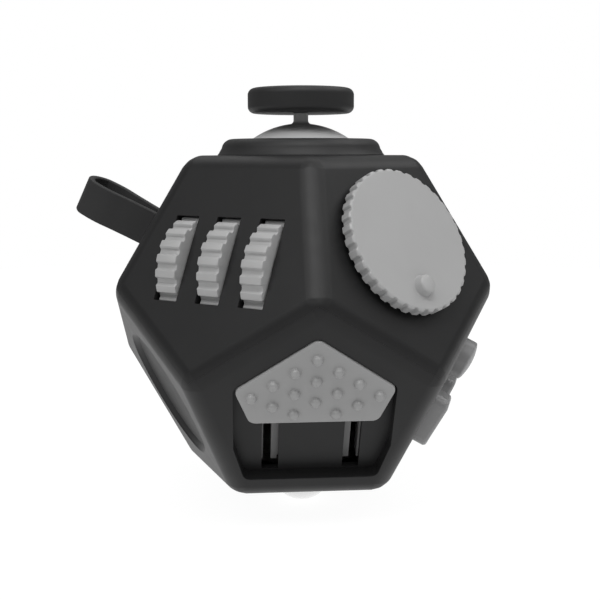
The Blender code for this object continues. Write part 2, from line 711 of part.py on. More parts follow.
def strap_centre_line():
    """Up one side of the fold, round its end and down the other, round the pin."""
    tip_start = 11.8
    heights = [-2.6, -0.6, 1.4, 3.4, 5.6, 8.0, 10.4, tip_start]
    right = [(loop_half_width(z), z) for z in heights]
    wide = loop_half_width(tip_start)
    tall = STRAP_REACH - STRAP_THICKNESS / 2 - tip_start
    turns = [math.pi * i / 8 for i in range(1, 8)]
    tip = [(wide * math.cos(t), tip_start + tall * math.sin(t)) for t in turns]
    left = [(-x, z) for x, z in reversed(right)]
    curl = 1.45
    pin = [(curl * math.cos(t), STRAP_PIN_Z + curl * math.sin(t)) for t in
           [math.radians(a) for a in (150, 180, 210, 240, 270, 300, 330, 360, 390)]]
    return right + tip + left + pin


def make_strap(face, upper):
    soft = material("silicone", SOFT_BLACK, 0.6)
    metal = material("steel", STEEL, 0.35, 1.0)
    nylon = material("inner_plastic", MID_GREY, 0.5)
    slot = box((3.9, STRAP_WIDTH + 0.6, 9.0), (STRAP_X, STRAP_Y, 0))
    boolean(upper, tool("strap_slot", slot, face))
    line = [Vector(point) for point in strap_centre_line()]
    outer, inner = [], []
    for i, here in enumerate(line):
        along = (line[(i + 1) % len(line)] - line[i - 1]).normalized()
        normal = Vector((along.y, -along.x)) * STRAP_THICKNESS / 2
        outer.append(tuple(here + normal))
        inner.append(tuple(here - normal))
    band = prism(outer, -STRAP_WIDTH / 2, STRAP_WIDTH / 2, [inner])
    stand = empty("strap_frame", face, Matrix.Translation((STRAP_X * MM, STRAP_Y * MM, 0)) @
                  Matrix.Rotation(math.pi / 2, 4, "X"))
    add("strap_loop", band, stand, soft)
    add("strap_pin", rod(0.7, -4.6, 4.6), stand, metal, (0, STRAP_PIN_Z, 0))
    inside = STRAP_WIDTH / 2 + GAP
    yoke("strap_anchor", face, nylon, inside, 1.3, STRAP_PIN_Z, 2.2, "y", (STRAP_X, STRAP_Y), 0.7)


def yoke(name, parent, mat, inner, wall, pin_z, drop, along, place, pin_radius):
    """A U-shaped bracket behind the wall whose two ears hold a pin that runs along x or y."""
    floor = pin_z - drop
    wide = inner + wall
    outline = [(-wide, INSIDE), (-wide, floor - 1.0), (wide, floor - 1.0), (wide, INSIDE)]
    outline += [(inner, INSIDE), (inner, floor), (-inner, floor), (-inner, INSIDE)]
    turn = (90, 0, 90) if along == "y" else (90, 0, 0)
    obj = add(name, prism(outline, -1.7, 1.7), parent, mat, (*place, 0), turn, smooth=False)
    pin_turn = (90, 0, 0) if along == "y" else (0, 90, 0)
    hole = tool(f"{name}_hole", rod(pin_radius + 0.2, -9, 9), parent, (*place, pin_z), pin_turn)
    boolean(obj, hole)
    return obj


# ---------------------------------------------------------------- rolling ball

def make_ball(face, lower):
    white = material("ball_plastic", (0.68, 0.68, 0.68), 0.2)
    black = material("grip_plastic", SOFT_BLACK, 0.5)
    nylon = material("inner_plastic", MID_GREY, 0.5)
    centre = empty("ball_centre", face, Matrix.Translation((0, 0, -BALL_SINK * MM)))
    boolean(lower, tool("ball_hole", rod(BALL_RADIUS + 0.4, -6, 3, 24), centre))
    add("roller_ball", turned(dome_points(BALL_RADIUS, 0, 0, 180, 13), 24), centre, white)

    clear = BALL_RADIUS + 0.22
    lip, seat = 1.7 + BALL_SINK, 0.1 + BALL_SINK
    profile = [(math.sqrt(clear ** 2 - seat ** 2), seat), (7.6, seat), (7.4, seat + 0.7), (5.6, lip)]
    profile += [(math.sqrt(clear ** 2 - lip ** 2) + 0.05, lip), (clear, 0)]
    add("ball_retaining_ring", turned(profile, 24, closed=True), centre, black)

    high = INSIDE + BALL_SINK
    start = math.degrees(math.acos(high / clear))
    profile = dome_points(clear + 0.05, 0, 180, start, 7)
    profile += [(8.6, high), (8.6, high - 1.0), (6.6, high - 1.0), (6.6, -clear - 1.0), (0, -clear - 1.0)]
    add("ball_socket", turned(profile, 24), centre, nylon)


# ---------------------------------------------------------------- thumb dish

def make_dish(face, lower):
    sphere = (DISH_FLOOR ** 2 + DISH_SAG ** 2) / (2 * DISH_SAG)
    lean = math.degrees(math.asin(DISH_FLOOR / sphere))
    profile = dome_points(sphere, sphere - DISH_STEP - DISH_SAG, 180, 180 - lean, 5)
    hollow = turned(profile + [(DISH_MOUTH, 0), (DISH_MOUTH, 3), (0, 3)], 32)
    boolean(lower, tool("dish_hollow", hollow, face))


# ---------------------------------------------------------------- rocker, toggle, ring and push button

def make_rocker(face, upper):
    grey = material("rocker_plastic", MID_GREY, 0.4)
    metal = material("steel", STEEL, 0.35, 1.0)
    nylon = material("inner_plastic", MID_GREY, 0.5)
    half = ROCKER_LENGTH / 2
    opening = prism(rounded_box_outline(2 * (half + 1.0), ROCKER_WIDTH + 0.6, 0.8), -6, 3)
    boolean(upper, tool("rocker_opening", opening, face))
    between = ROCKER_MIDDLE + (ROCKER_END - ROCKER_MIDDLE) * 0.35
    side = [(-half, 2.4), (-half, ROCKER_END), (-half * 0.55, between), (0, ROCKER_MIDDLE)]
    side += [(half * 0.55, between), (half, ROCKER_END), (half, 2.4), (1.9, -1.7), (-1.9, -1.7)]
    axis = empty("rocker_axis", face, Matrix.Translation((0, 0, PIVOT_DEPTH * MM)) @
                 Matrix.Rotation(math.pi / 2, 4, "X"))
    body = prism(side, -ROCKER_WIDTH / 2, ROCKER_WIDTH / 2, [circle(0.85, 12)])
    add("rocker_switch", body, axis, grey, turn=(0, 0, ROCKER_THROW))
    add("rocker_pin", rod(0.6, -4.6, 4.6), axis, metal)
    yoke("rocker_bracket", face, nylon, ROCKER_WIDTH / 2 + 0.4, 1.3, PIVOT_DEPTH, 2.4, "y", (0, 0), 0.6)


def make_toggle(face, lower):
    grey = material("toggle_plastic", MID_GREY, 0.4)
    metal = material("steel", STEEL, 0.35, 1.0)
    nylon = material("inner_plastic", MID_GREY, 0.5)
    opening = prism(rounded_box_outline(4.6, 7.4, 0.8), -6, 3)
    boolean(lower, tool("toggle_opening", opening, face))
    tip = 8.6
    side = [(1.6, -1.5), (1.5, 3.6), (1.15, tip - 0.6), (0.6, tip), (-0.6, tip), (-1.15, tip - 0.6)]
    side += [(-1.5, 3.6), (-1.6, -1.5)]
    axis = empty("toggle_axis", face, Matrix.Translation((0, 0, PIVOT_DEPTH * MM)) @
                 Matrix.Rotation(math.pi / 2, 4, "Z") @ Matrix.Rotation(math.pi / 2, 4, "X"))
    body = prism(side, -2.0, 2.0, [circle(0.85, 12)])
    add("toggle_lever", body, axis, grey, turn=(0, 0, TOGGLE_THROW))
    add("toggle_pin", rod(0.6, -3.5, 3.5), axis, metal)
    yoke("toggle_bracket", face, nylon, 2.3, 1.3, PIVOT_DEPTH, 2.4, "x", (0, 0), 0.6)


def make_twist_ring(face, upper):
    grey = material("ring_plastic", MID_GREY, 0.4)
    black = material("grip_plastic", SOFT_BLACK, 0.5)
    metal = material("steel", STEEL, 0.35, 1.0)
    low, high = 0.4, 2.4
    boolean(upper, tool("hub_hole", rod(2.1, -5, 3, 16), face))
    rim = waved_circle(RING_OUTER, 0.9, 8, 8)
    add("twist_ring", prism(rim, low, high, [circle(RING_INNER, 28)]), face, grey)
    neck = RING_INNER - 0.3
    profile = [(1.0, -1.9), (1.8, -1.9), (1.8, 0.1), (neck, 0.1), (neck, high + GAP), (neck + 1.0, high + GAP)]
    profile += [(neck + 0.8, high + 0.9), (neck - 0.4, high + 1.1), (0, high + 0.8), (0, 1.2), (1.0, 1.2)]
    add("twist_hub", turned(profile, 28, closed=True), face, black)
    screw("twist_hub_screw", face, metal, 0, 0, INSIDE, 3.4)


def make_push_button(face, lower):
    grey = material("push_plastic", MID_GREY, 0.4)
    metal = material("steel", STEEL, 0.35, 1.0)
    nylon = material("inner_plastic", MID_GREY, 0.5)
    boolean(lower, tool("push_hole", rod(PUSH_RADIUS + 0.25, -6, 3, 24), face))
    low = INSIDE - 1.1
    profile = [(0, low), (5.5, low), (5.5, INSIDE - 0.1), (PUSH_RADIUS, INSIDE - 0.1), (PUSH_RADIUS, 1.3)]
    profile += [(PUSH_RADIUS - 0.4, 1.7), (2.4, 1.55), (0, 1.4)]
    add("push_button", turned(profile, 24), face, grey)
    floor = low - 3.2
    add("push_button_spring", coil(3.2, 0.3, 2, 2.9), face, metal, (0, 0, floor + 0.15))
    profile = [(0, floor - 1.0), (6.8, floor - 1.0), (6.8, INSIDE), (5.8, INSIDE), (5.8, floor), (0, floor)]
    add("push_button_housing", turned(profile, 24), face, nylon)


def main():
    clear_scene()
    place = Matrix.Translation((ASSEMBLY_X * MM, ASSEMBLY_Y * MM, ASSEMBLY_Z * MM))
    assembly = empty("assembly", None, place)
    upper, lower = make_case(assembly)
    make_joystick(assembly, upper)
    make_wheels(face_frame("upper", -36, assembly), upper)
    make_dial(face_frame("upper", 36, assembly), upper)
    make_strap(face_frame("upper", -108, assembly), upper)
    make_rocker(face_frame("upper", 108, assembly), upper)
    make_twist_ring(face_frame("upper", 180, assembly), upper)
    make_slider(face_frame("lower", 0, assembly), lower)
    make_buttons(face_frame("lower", 72, assembly), lower)
    make_dish(face_frame("lower", -72, assembly), lower)
    make_toggle(face_frame("lower", 144, assembly), lower)
    make_push_button(face_frame("lower", -144, assembly), lower)
    make_ball(face_frame("bottom", 0, assembly), lower)
    bpy.context.view_layer.update()


main()
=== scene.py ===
"""The looks of the twelve-sided desk toy: finely rounded meshes and plastic materials round the CAD frame.

Shapes are drawn in millimetres, each mechanism in the frame of its own face of the case: x to the right and
y up as seen from outside, z out of the face, and z = 0 on the flat of the case. A piece becomes metres as it
is made.
"""

import math

import bmesh
import bpy
from mathutils import Euler, Matrix, Vector


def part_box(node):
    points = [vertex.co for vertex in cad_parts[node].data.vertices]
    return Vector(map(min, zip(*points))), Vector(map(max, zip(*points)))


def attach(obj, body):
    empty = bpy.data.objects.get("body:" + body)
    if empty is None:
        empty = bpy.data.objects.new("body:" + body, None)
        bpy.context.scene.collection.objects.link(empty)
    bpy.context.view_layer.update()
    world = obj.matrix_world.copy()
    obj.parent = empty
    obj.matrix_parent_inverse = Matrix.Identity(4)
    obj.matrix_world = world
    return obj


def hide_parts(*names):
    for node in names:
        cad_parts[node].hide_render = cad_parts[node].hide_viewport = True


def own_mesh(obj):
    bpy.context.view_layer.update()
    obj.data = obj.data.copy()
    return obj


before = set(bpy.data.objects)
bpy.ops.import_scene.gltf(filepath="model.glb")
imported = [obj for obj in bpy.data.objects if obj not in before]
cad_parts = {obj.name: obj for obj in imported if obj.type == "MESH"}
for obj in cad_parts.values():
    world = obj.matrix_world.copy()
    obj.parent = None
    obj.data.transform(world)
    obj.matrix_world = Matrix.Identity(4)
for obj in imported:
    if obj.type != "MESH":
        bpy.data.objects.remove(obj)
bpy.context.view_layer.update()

MM = 0.001
GAP = 0.3

# The case
EDGE = 19.0
SIDE_DISTANCE = EDGE * math.sqrt((25 + 11 * math.sqrt(5)) / 40)
TOP_DISTANCE = SIDE_DISTANCE + 0.25
BOTTOM_DISTANCE = SIDE_DISTANCE + 0.31
FACE_ANGLE = math.radians(116.565)
EDGE_FILLET = 3.08
WALL = 2.4
TILT = math.atan(0.5)
INSIDE = -WALL - GAP
SEAM = 0.01
RIM_LIFT = 0.01
SEAM_SLOPE = math.tan(math.radians(10.8123))
SEAM_REACH = 40.0
SEAM_HEIGHT = 60.0
BLOCK = 80.0
FILLET_SEGMENTS = 12

# Openings in the case: how far the cutters reach, and how widely each kind of rim is rounded
CUT_HIGH = 3.0
SLOT_LOW = -4.0
STRAP_HOLE_LOW = -4.5
HOLE_LOW = -5.0
DEEP_LOW = -6.0
SLOT_RIM = 0.05
RECESS_RIM = 0.1
BUTTON_RIM = 0.12
SOFT_RIM = 0.2
WIDE_RIM = 0.25
BALL_FIT = 0.16                # between a ball or dome and the ring round it

# Ball, which the toy stands on
BALL_RADIUS = 4.3
BALL_SINK = -0.55

# Joystick, heights from the middle of the case
PIVOT_Z = 14.34
DOME_RADIUS = 11.25
DOME_ANGLE = 60.0
CAP_RADIUS = 7.05
CAP_LOW = 26.88
CAP_HIGH = 30.17
CAP_EDGE = 0.9
STEM_RADIUS = 0.98
STEM_FILLET = 0.5
STEM_IN_CAP = 1.8
SOCKET_FIT = 0.04
DOME_WALL = 1.2
TAIL_LENGTH = 5.0
TAIL_RADIUS = 1.3
TAIL_KNOB = 2.0
GIMBAL_PIN_RADIUS = 0.5
RING_REACH = 4.9
COLLAR_BASE = 11.1
COLLAR_HEIGHT = 2.15
COLLAR_SHOULDER = 1.5
SHOULDER_SQUASH = 0.95

# Ridged wheels and dial
WHEEL_RADIUS = 7.0
WHEEL_RIDGES = 23
RIDGE_DEPTH = 0.42
WHEEL_WIDTH = 3.0
WHEEL_PITCH = 6.24
WHEEL_Y = -0.33
WHEEL_Z = -5.05
WHEEL_EDGE = 0.14
WHEEL_HOLLOW = (4.8, 2.2)      # outer and inner radius of the hollow in each side
HOLLOW_DEPTH = 0.3
HOLLOW_SLOPE = 0.2
WHEEL_SLOT = (3.42, 11.18, 0.12)  # width, height and corner of an opening, here and below
WHEEL_SLOT_Y = -0.46
SWEEP_INSET = 0.01
AXLE_RADIUS = 0.9
AXLE_FIT = 0.2
DIAL_Y = 1.3
DIAL_RADIUS = 9.3
DIAL_SCALLOPS = 36
SCALLOP_DEPTH = 0.26
DIAL_PHASE = -3.3
DIAL_EDGE = 0.3
DIAL_LOW = 0.45
DIAL_HIGH = 2.05
DIAL_LOW_EDGE = 0.12
DIAL_SHAFT = 2.0
DIAL_SHAFT_LOW = -5.0
CLIP_GROOVE = (INSIDE - 0.2, INSIDE - 1.2)
CLIP_RADIUS = 1.4
NUB_PLACE = (-0.7, -6.1)
NUB_BASE = 1.3
NUB_TOP = 1.15
NUB_HEIGHT = 1.1

# Slider
SLIDER_TRAVEL = 9.4
RECESS_DEPTH = 1.7
RECESS_GROW = 0.06
RECESS_LOW = -0.9
RECESS_FOOT = 8.25
PLATE_HIGH = 0.3
PLATE_LOW = -0.75
PLATE_FOOT = 7.75
PLATE_REACH = 9.62
PLATE_SHOULDER = 4.3
PLATE_TIP = 11.62
PLATE_CORNER = 1.1
PLATE_CLEARANCE = 0.2
BLADE_X = 5.45
BLADE_Y = 1.3
BLADE_Z = (-6.0, -0.6)
BLADE_SIZE = (0.6, 3.2)
SLOT_X = (4.05, 6.15)
SLOT_FOOT = -10.05
SLOT_LENGTH = 13.35
SLOT_CUT = 6.0
BUMP_TOP_ROW = 8.8
BUMP_RADIUS = 0.68
BUMP_COLUMN = 2.53
BUMP_ROW = 3.14
CHEVRON = math.radians(36)

# Button face
FLANGE = (INSIDE - 1.3, INSIDE - 0.1)
BUTTON_RADIUS = 2.7
BUTTON_FLANGE = 3.2
BUTTON_SIDE = 1.7
BUTTON_CREST = 2.2
BUTTON_EDGE = 0.3
BUTTON_Y = 5.1
KEY_X = 5.3
KEY_Y = -2.56
KEY_SIZE = (4.6, 7.0)
KEY_HEIGHT = 1.85
KEY_CORNER = 1.2
KEY_EDGE = 0.45
KEY_FLANGE = 0.7
KEY_HUMP = (0.3, 2.1, 1.15)    # height, place and half width of the swell on the left key
KEY_HOLE = (KEY_SIZE[0] + 0.4, KEY_SIZE[1] + 0.4, KEY_CORNER)

# Strap loop, thumb dish and the mechanisms on the far faces
STRAP_X = -1.0
STRAP_Y = 0.4
STRAP_WIDTH = 5.0
STRAP_THICKNESS = 0.9
STRAP_REACH = 14.7
STRAP_NECK = 1.15
STRAP_SWELL = 1.75
STRAP_TIP_START = 11.8
STRAP_PIN_Z = -4.4
STRAP_PIN_TURN = 1.45
STRAP_HOLE = (3.9, STRAP_WIDTH + 0.6, 0.3)
DISH_MOUTH = 8.95
DISH_FLOOR = 8.25
DISH_STEP = 0.75
DISH_SAG = 0.75
DISH_RIM = 0.2
BEZEL_RADIUS = 7.6
BEZEL_LIP = 1.7
BEZEL_ROUND = 1.2
PIVOT_DEPTH = -4.0
PIVOT_HOLE = 0.8
ROCKER_LENGTH = 11.2
ROCKER_WIDTH = 6.0
ROCKER_THROW = 7.0
ROCKER_END = 4.7
ROCKER_MIDDLE = 4.15
ROCKER_HOLE = (ROCKER_LENGTH + 2.0, ROCKER_WIDTH + 0.6, 0.8)
TOGGLE_THROW = 20.0
TOGGLE_TIP = 8.6
TOGGLE_HALF_WIDTH = 2.0
TOGGLE_HOLE = (4.6, 7.4, 0.8)
RING_INNER = 4.8
RING_OUTER = 8.8
RING_Z = (0.4, 2.4)
RING_LOBES = 8
LOBE_DEPTH = 0.9
HUB_HOLE = 2.1
PUSH_RADIUS = 4.5
PUSH_EDGE = 0.45
PUSH_FLANGE = 5.5

# Coil springs: radius, wire, turns and length
ROUND_SPRING = (1.8, 0.25, 2, 1.9)
KEY_SPRING = (1.6, 0.25, 2, 1.9)
PUSH_SPRING = (3.2, 0.3, 2, 2.9)
BUTTON_SPRING_Z = INSIDE - 3.5 + 0.15
PUSH_SPRING_Z = INSIDE - 4.3 + 0.15


def case_centre():
    """The middle of the case, in millimetres, found from the ball that it stands on."""
    low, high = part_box("roller_ball")
    middle = (low + high) / 2 / MM
    return Vector((middle.x, middle.y, middle.z - BALL_SINK + BOTTOM_DISTANCE))


CENTRE = Matrix.Translation(case_centre())


# ---------------------------------------------------------------- materials

def node(tree, kind, **values):
    made = tree.nodes.new(kind)
    for key, value in values.items():
        if hasattr(made, key):
            setattr(made, key, value)
        else:
            made.inputs[key.replace("_", " ")].default_value = value
    return made


def noise(tree, scale, detail=3.0, stretch=None):
    """Noise fixed to the piece; scale is in features per metre."""
    place = node(tree, "ShaderNodeTexCoord").outputs["Object"]
    if stretch:
        mapping = node(tree, "ShaderNodeMapping")
        mapping.inputs["Scale"].default_value = stretch
        tree.links.new(place, mapping.inputs["Vector"])
        place = mapping.outputs["Vector"]
    made = node(tree, "ShaderNodeTexNoise", Scale=scale, Detail=detail)
    tree.links.new(place, made.inputs["Vector"])
    return made.outputs["Fac"]


def spread(tree, source, low, high):
    """Maps the middle of a noise to low..high."""
    made = node(tree, "ShaderNodeMapRange")
    made.inputs["From Min"].default_value = 0.3
    made.inputs["From Max"].default_value = 0.7
    made.inputs["To Min"].default_value = low
    made.inputs["To Max"].default_value = high
    tree.links.new(source, made.inputs["Value"])
    return made.outputs["Result"]


def moulded(name, colour, roughness, mottle=0.06, grain=0.012, grain_scale=5200.0, specular=0.5, metallic=0.0,
            coat=0.0, subsurface=0.0, stretch=None):
    """Moulded plastic or worked metal: soft colour clouds, uneven sheen and a fine grain.

    grain is the height of the surface texture in millimetres.
    """
    mat = bpy.data.materials.new(name)
    mat.use_nodes = True
    tree = mat.node_tree
    shader = tree.nodes["Principled BSDF"]
    shader.inputs["Metallic"].default_value = metallic
    shader.inputs["Specular IOR Level"].default_value = specular
    shader.inputs["Coat Weight"].default_value = coat
    shader.inputs["Coat Roughness"].default_value = 0.12
    if subsurface:
        shader.inputs["Subsurface Weight"].default_value = subsurface
        shader.inputs["Subsurface Radius"].default_value = (0.0008, 0.0008, 0.0008)

    ramp = node(tree, "ShaderNodeValToRGB")
    ramp.color_ramp.elements[0].position = 0.32
    ramp.color_ramp.elements[1].position = 0.68
    ramp.color_ramp.elements[0].color = (*[c * (1 - mottle) for c in colour], 1)
    ramp.color_ramp.elements[1].color = (*[c * (1 + mottle) for c in colour], 1)
    tree.links.new(noise(tree, 170.0, 4.0), ramp.inputs["Fac"])
    tree.links.new(ramp.outputs["Color"], shader.inputs["Base Color"])

    sheen = spread(tree, noise(tree, 620.0, 5.0, stretch), roughness - 0.02, roughness + 0.02)
    tree.links.new(sheen, shader.inputs["Roughness"])

    bump = node(tree, "ShaderNodeBump", Strength=0.35)
    bump.inputs["Distance"].default_value = grain * MM
    tree.links.new(noise(tree, grain_scale, 2.0, stretch), bump.inputs["Height"])
    tree.links.new(bump.outputs["Normal"], shader.inputs["Normal"])
    return mat


def make_materials():
    return {
        "case": moulded("case_black", (0.0112, 0.0112, 0.0115), 0.44, specular=0.25),
        "grip": moulded("grip_black", (0.0180, 0.0180, 0.0183), 0.50, grain=0.016, specular=0.28),
        "silicone": moulded("strap_silicone", (0.0225, 0.0225, 0.0229), 0.58, grain=0.02, specular=0.27),
        "wheel": moulded("wheel_grey", (0.345, 0.345, 0.345), 0.38, 0.03),
        "dial": moulded("dial_grey", (0.318, 0.318, 0.318), 0.34, 0.015, grain=0.006),
        "slider": moulded("slider_grey", (0.262, 0.262, 0.262), 0.32, 0.015, grain=0.006),
        "key": moulded("key_grey", (0.235, 0.235, 0.237), 0.42, 0.04),
        "dome": moulded("dome_grey", (0.460, 0.460, 0.460), 0.34, 0.03),
        "ball": moulded("ball_white", (0.860, 0.860, 0.860), 0.20, 0.02, grain=0.004, coat=0.4),
        "nylon": moulded("inner_nylon", (0.260, 0.260, 0.255), 0.48, 0.05, subsurface=0.1),
        "guide": moulded("guide_grey", (0.120, 0.120, 0.120), 0.45, 0.04),
        "steel": moulded("bright_steel", (0.600, 0.600, 0.610), 0.30, 0.05, grain=0.006, metallic=1.0,
                         stretch=(1.0, 1.0, 6.0)),
    }


# ---------------------------------------------------------------- mesh helpers

def stack(loops, ring=False):
    """Loops of as many points each, joined one to the next; a ring also joins the last to the first."""
    bm = bmesh.new()
    rows = [[bm.verts.new(point) for point in loop] for loop in loops]
    pairs = list(zip(rows, rows[1:]))
    if ring:
        pairs.append((rows[-1], rows[0]))
    for row, following in pairs:
        for i in range(len(row)):
            j = (i + 1) % len(row)
            bm.faces.new((row[i], row[j], following[j], following[i]))
    if not ring:
        bm.faces.new(rows[0])
        bm.faces.new(rows[-1])
    return bm


def turned(profile, segments=64, ring=False):
    """A profile of (radius, z) points turned about z; a ring has its own hole."""
    bm = bmesh.new()
    rows = []
    for radius, z in profile:
        count = segments if radius > 0 else 1
        rows.append([bm.verts.new((radius * math.cos(2 * math.pi * i / segments),
                                   radius * math.sin(2 * math.pi * i / segments), z)) for i in range(count)])
    pairs = list(zip(rows, rows[1:]))
    if ring:
        pairs.append((rows[-1], rows[0]))
    for row, following in pairs:
        for i in range(segments):
            j = (i + 1) % segments
            corners = [row[i % len(row)], row[j % len(row)]]
            corners += [following[j % len(following)], following[i % len(following)]]
            unique = list(dict.fromkeys(corners))
            if len(unique) > 2:
                bm.faces.new(unique)
    return bm


def rod(radius, low, high, segments=48):
    return turned([(0, low), (radius, low), (radius, high), (0, high)], segments)


def box(size, middle=(0, 0, 0)):
    bm = bmesh.new()
    bmesh.ops.create_cube(bm, size=1.0)
    bmesh.ops.scale(bm, vec=size, verts=bm.verts)
    bmesh.ops.translate(bm, vec=middle, verts=bm.verts)
    return bm


def placed(bm, matrix):
    bmesh.ops.transform(bm, matrix=matrix, verts=bm.verts)
    return bm


def circle(radius, count, z):
    return [(radius * math.cos(2 * math.pi * i / count), radius * math.sin(2 * math.pi * i / count), z)
            for i in range(count)]


def arc(radius, start, end, count, middle=(0.0, 0.0)):
    """Points from start to end degrees, counted from +x."""
    turns = [math.radians(start + (end - start) * i / (count - 1)) for i in range(count)]
    return [(middle[0] + radius * math.cos(t), middle[1] + radius * math.sin(t)) for t in turns]


def dome(radius, centre_z, start, end, count):
    """(radius, z) points of a circle about (0, centre_z), degrees counted from straight up."""
    turns = [math.radians(start + (end - start) * i / (count - 1)) for i in range(count)]
    return [(max(0.0, radius * math.sin(t)), centre_z + radius * math.cos(t)) for t in turns]


def rounded(corners, radii, count=8):
    """The outline through corners, each rounded with its radius."""
    points = []
    for i, corner in enumerate(corners):
        radius = radii[i] if isinstance(radii, (list, tuple)) else radii
        here = Vector(corner)
        back = (Vector(corners[i - 1]) - here).normalized()
        ahead = (Vector(corners[(i + 1) % len(corners)]) - here).normalized()
        half = back.angle(ahead) / 2
        middle = here + (back + ahead).normalized() * radius / math.sin(half)
        first = (here + back * radius / math.tan(half) - middle).normalized()
        last = (here + ahead * radius / math.tan(half) - middle).normalized()
        for k in range(count + 1):
            points.append(tuple(middle + first.slerp(last, k / count) * radius))
    return points


def rounded_box(width, height, radius, count=8):
    x, y = width / 2, height / 2
    return rounded([(x, y), (-x, y), (-x, -y), (x, -y)], radius, count)


def inset(outline, amount):
    """The outline moved in by amount, square to its own edge."""
    points = [Vector(p) for p in outline]
    area = sum(points[i - 1].cross(points[i]) for i in range(len(points)))
    side = 1 if area > 0 else -1
    shifted = []
    for i, here in enumerate(points):
        along = (points[(i + 1) % len(points)] - points[i - 1]).normalized()
        shifted.append(tuple(here + Vector((-along.y, along.x)) * side * amount))
    return shifted


def softened(low, high, low_edge, high_edge, steps=4):
    """(inset, z) layers of a block whose lower and upper edges are rounded."""
    layers = []
    for k in range(steps + 1):
        t = math.pi / 2 * k / steps
        layers.append((low_edge * (1 - math.sin(t)), low + low_edge * (1 - math.cos(t))))
    for k in range(steps + 1):
        t = math.pi / 2 * k / steps
        layers.append((high_edge * (1 - math.cos(t)), high - high_edge * (1 - math.sin(t))))
    return layers


def soft_prism(outline, low, high, low_edge, high_edge):
    return stack([[(x, y, z) for x, y in inset(outline, amount)]
                  for amount, z in softened(low, high, low_edge, high_edge)])


def ridged(radius, depth, count, per_ridge=20):
    """A circle of broad flat crests, short slopes and shallow valleys, the first crest on +x."""
    crest, slope = 0.42, 0.34
    points = []
    for i in range(count * per_ridge):
        turn = 2 * math.pi * i / (count * per_ridge)
        away = abs((i / per_ridge + 0.5) % 1.0 - 0.5) * 2
        fall = max(0.0, min(1.0, (away - crest) / slope))
        reach = radius - depth * fall * fall * (3 - 2 * fall)
        points.append((reach * math.cos(turn), reach * math.sin(turn)))
    return points


def scratch_object(name, bm):
    bmesh.ops.recalc_face_normals(bm, faces=bm.faces)
    mesh = bpy.data.meshes.new(name)
    bm.to_mesh(mesh)
    bm.free()
    obj = bpy.data.objects.new(name, mesh)
    bpy.context.scene.collection.objects.link(obj)
    return obj


def combined(base, *steps):
    """base with each (operation, bmesh) carried out on it in turn."""
    target = scratch_object("base", base)
    tools = []
    for operation, bm in steps:
        other = scratch_object("tool", bm)
        mod = target.modifiers.new("step", "BOOLEAN")
        mod.object = other
        mod.operation = operation
        mod.solver = "EXACT"
        tools.append(other)
    evaluated = target.evaluated_get(bpy.context.evaluated_depsgraph_get())
    result = bmesh.new()
    result.from_mesh(evaluated.to_mesh())
    for obj in (target, *tools):
        mesh = obj.data
        bpy.data.objects.remove(obj)
        bpy.data.meshes.remove(mesh)
    return result


def piece(name, bm, place, mat, body, cad_node, sharp=30.0):
    """Makes bm, drawn in millimetres and stood at place, into the piece that stands for a CAD node."""
    bmesh.ops.transform(bm, matrix=Matrix.Scale(MM, 4) @ place, verts=bm.verts)
    bmesh.ops.recalc_face_normals(bm, faces=bm.faces)
    mesh = bpy.data.meshes.new(name)
    bm.to_mesh(mesh)
    bm.free()
    mesh.shade_smooth()
    mesh.set_sharp_from_angle(angle=math.radians(sharp))
    obj = bpy.data.objects.new(name, mesh)
    bpy.context.scene.collection.objects.link(obj)
    normals = obj.modifiers.new("flat_faces", "WEIGHTED_NORMAL")
    normals.keep_sharp = True
    obj.data.materials.append(mat)
    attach(obj, body)
    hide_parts(cad_node)
    return obj


# ---------------------------------------------------------------- the case

def face_direction(row, azimuth):
    turn = math.radians(azimuth)
    lean = math.sin(TILT) * (1 if row == "upper" else -1)
    return Vector((math.sin(turn) * math.cos(TILT), -math.cos(turn) * math.cos(TILT), lean))


def face(row, azimuth=0.0):
    """Where a face stands, from the middle of the case: z outward and y up the face."""
    if row == "top":
        return Matrix.Translation((0, 0, TOP_DISTANCE))
    if row == "bottom":
        return Matrix.Translation((0, 0, -BOTTOM_DISTANCE)) @ Matrix.Rotation(math.pi, 4, "X")
    out = face_direction(row, azimuth)
    right = Vector((math.cos(math.radians(azimuth)), math.sin(math.radians(azimuth)), 0))
    matrix = Matrix((right, out.cross(right), out)).transposed().to_4x4()
    matrix.translation = out * SIDE_DISTANCE
    return matrix


WHEEL_FACE = face("upper", -36)
DIAL_FACE = face("upper", 36)
STRAP_FACE = face("upper", -108)
ROCKER_FACE = face("upper", 108)
RING_FACE = face("upper", 180)
SLIDER_FACE = face("lower", 0)
BUTTON_FACE = face("lower", 72)
DISH_FACE = face("lower", -72)
TOGGLE_FACE = face("lower", 144)
PUSH_FACE = face("lower", -144)
BALL_FACE = face("bottom")


def turned_to(axis, degrees):
    return Matrix.Rotation(math.radians(degrees), 4, axis)


def moved(x, y, z):
    return Matrix.Translation((x, y, z))


WHEEL_AXIS = WHEEL_FACE @ moved(0, WHEEL_Y, WHEEL_Z) @ turned_to("Y", 90)


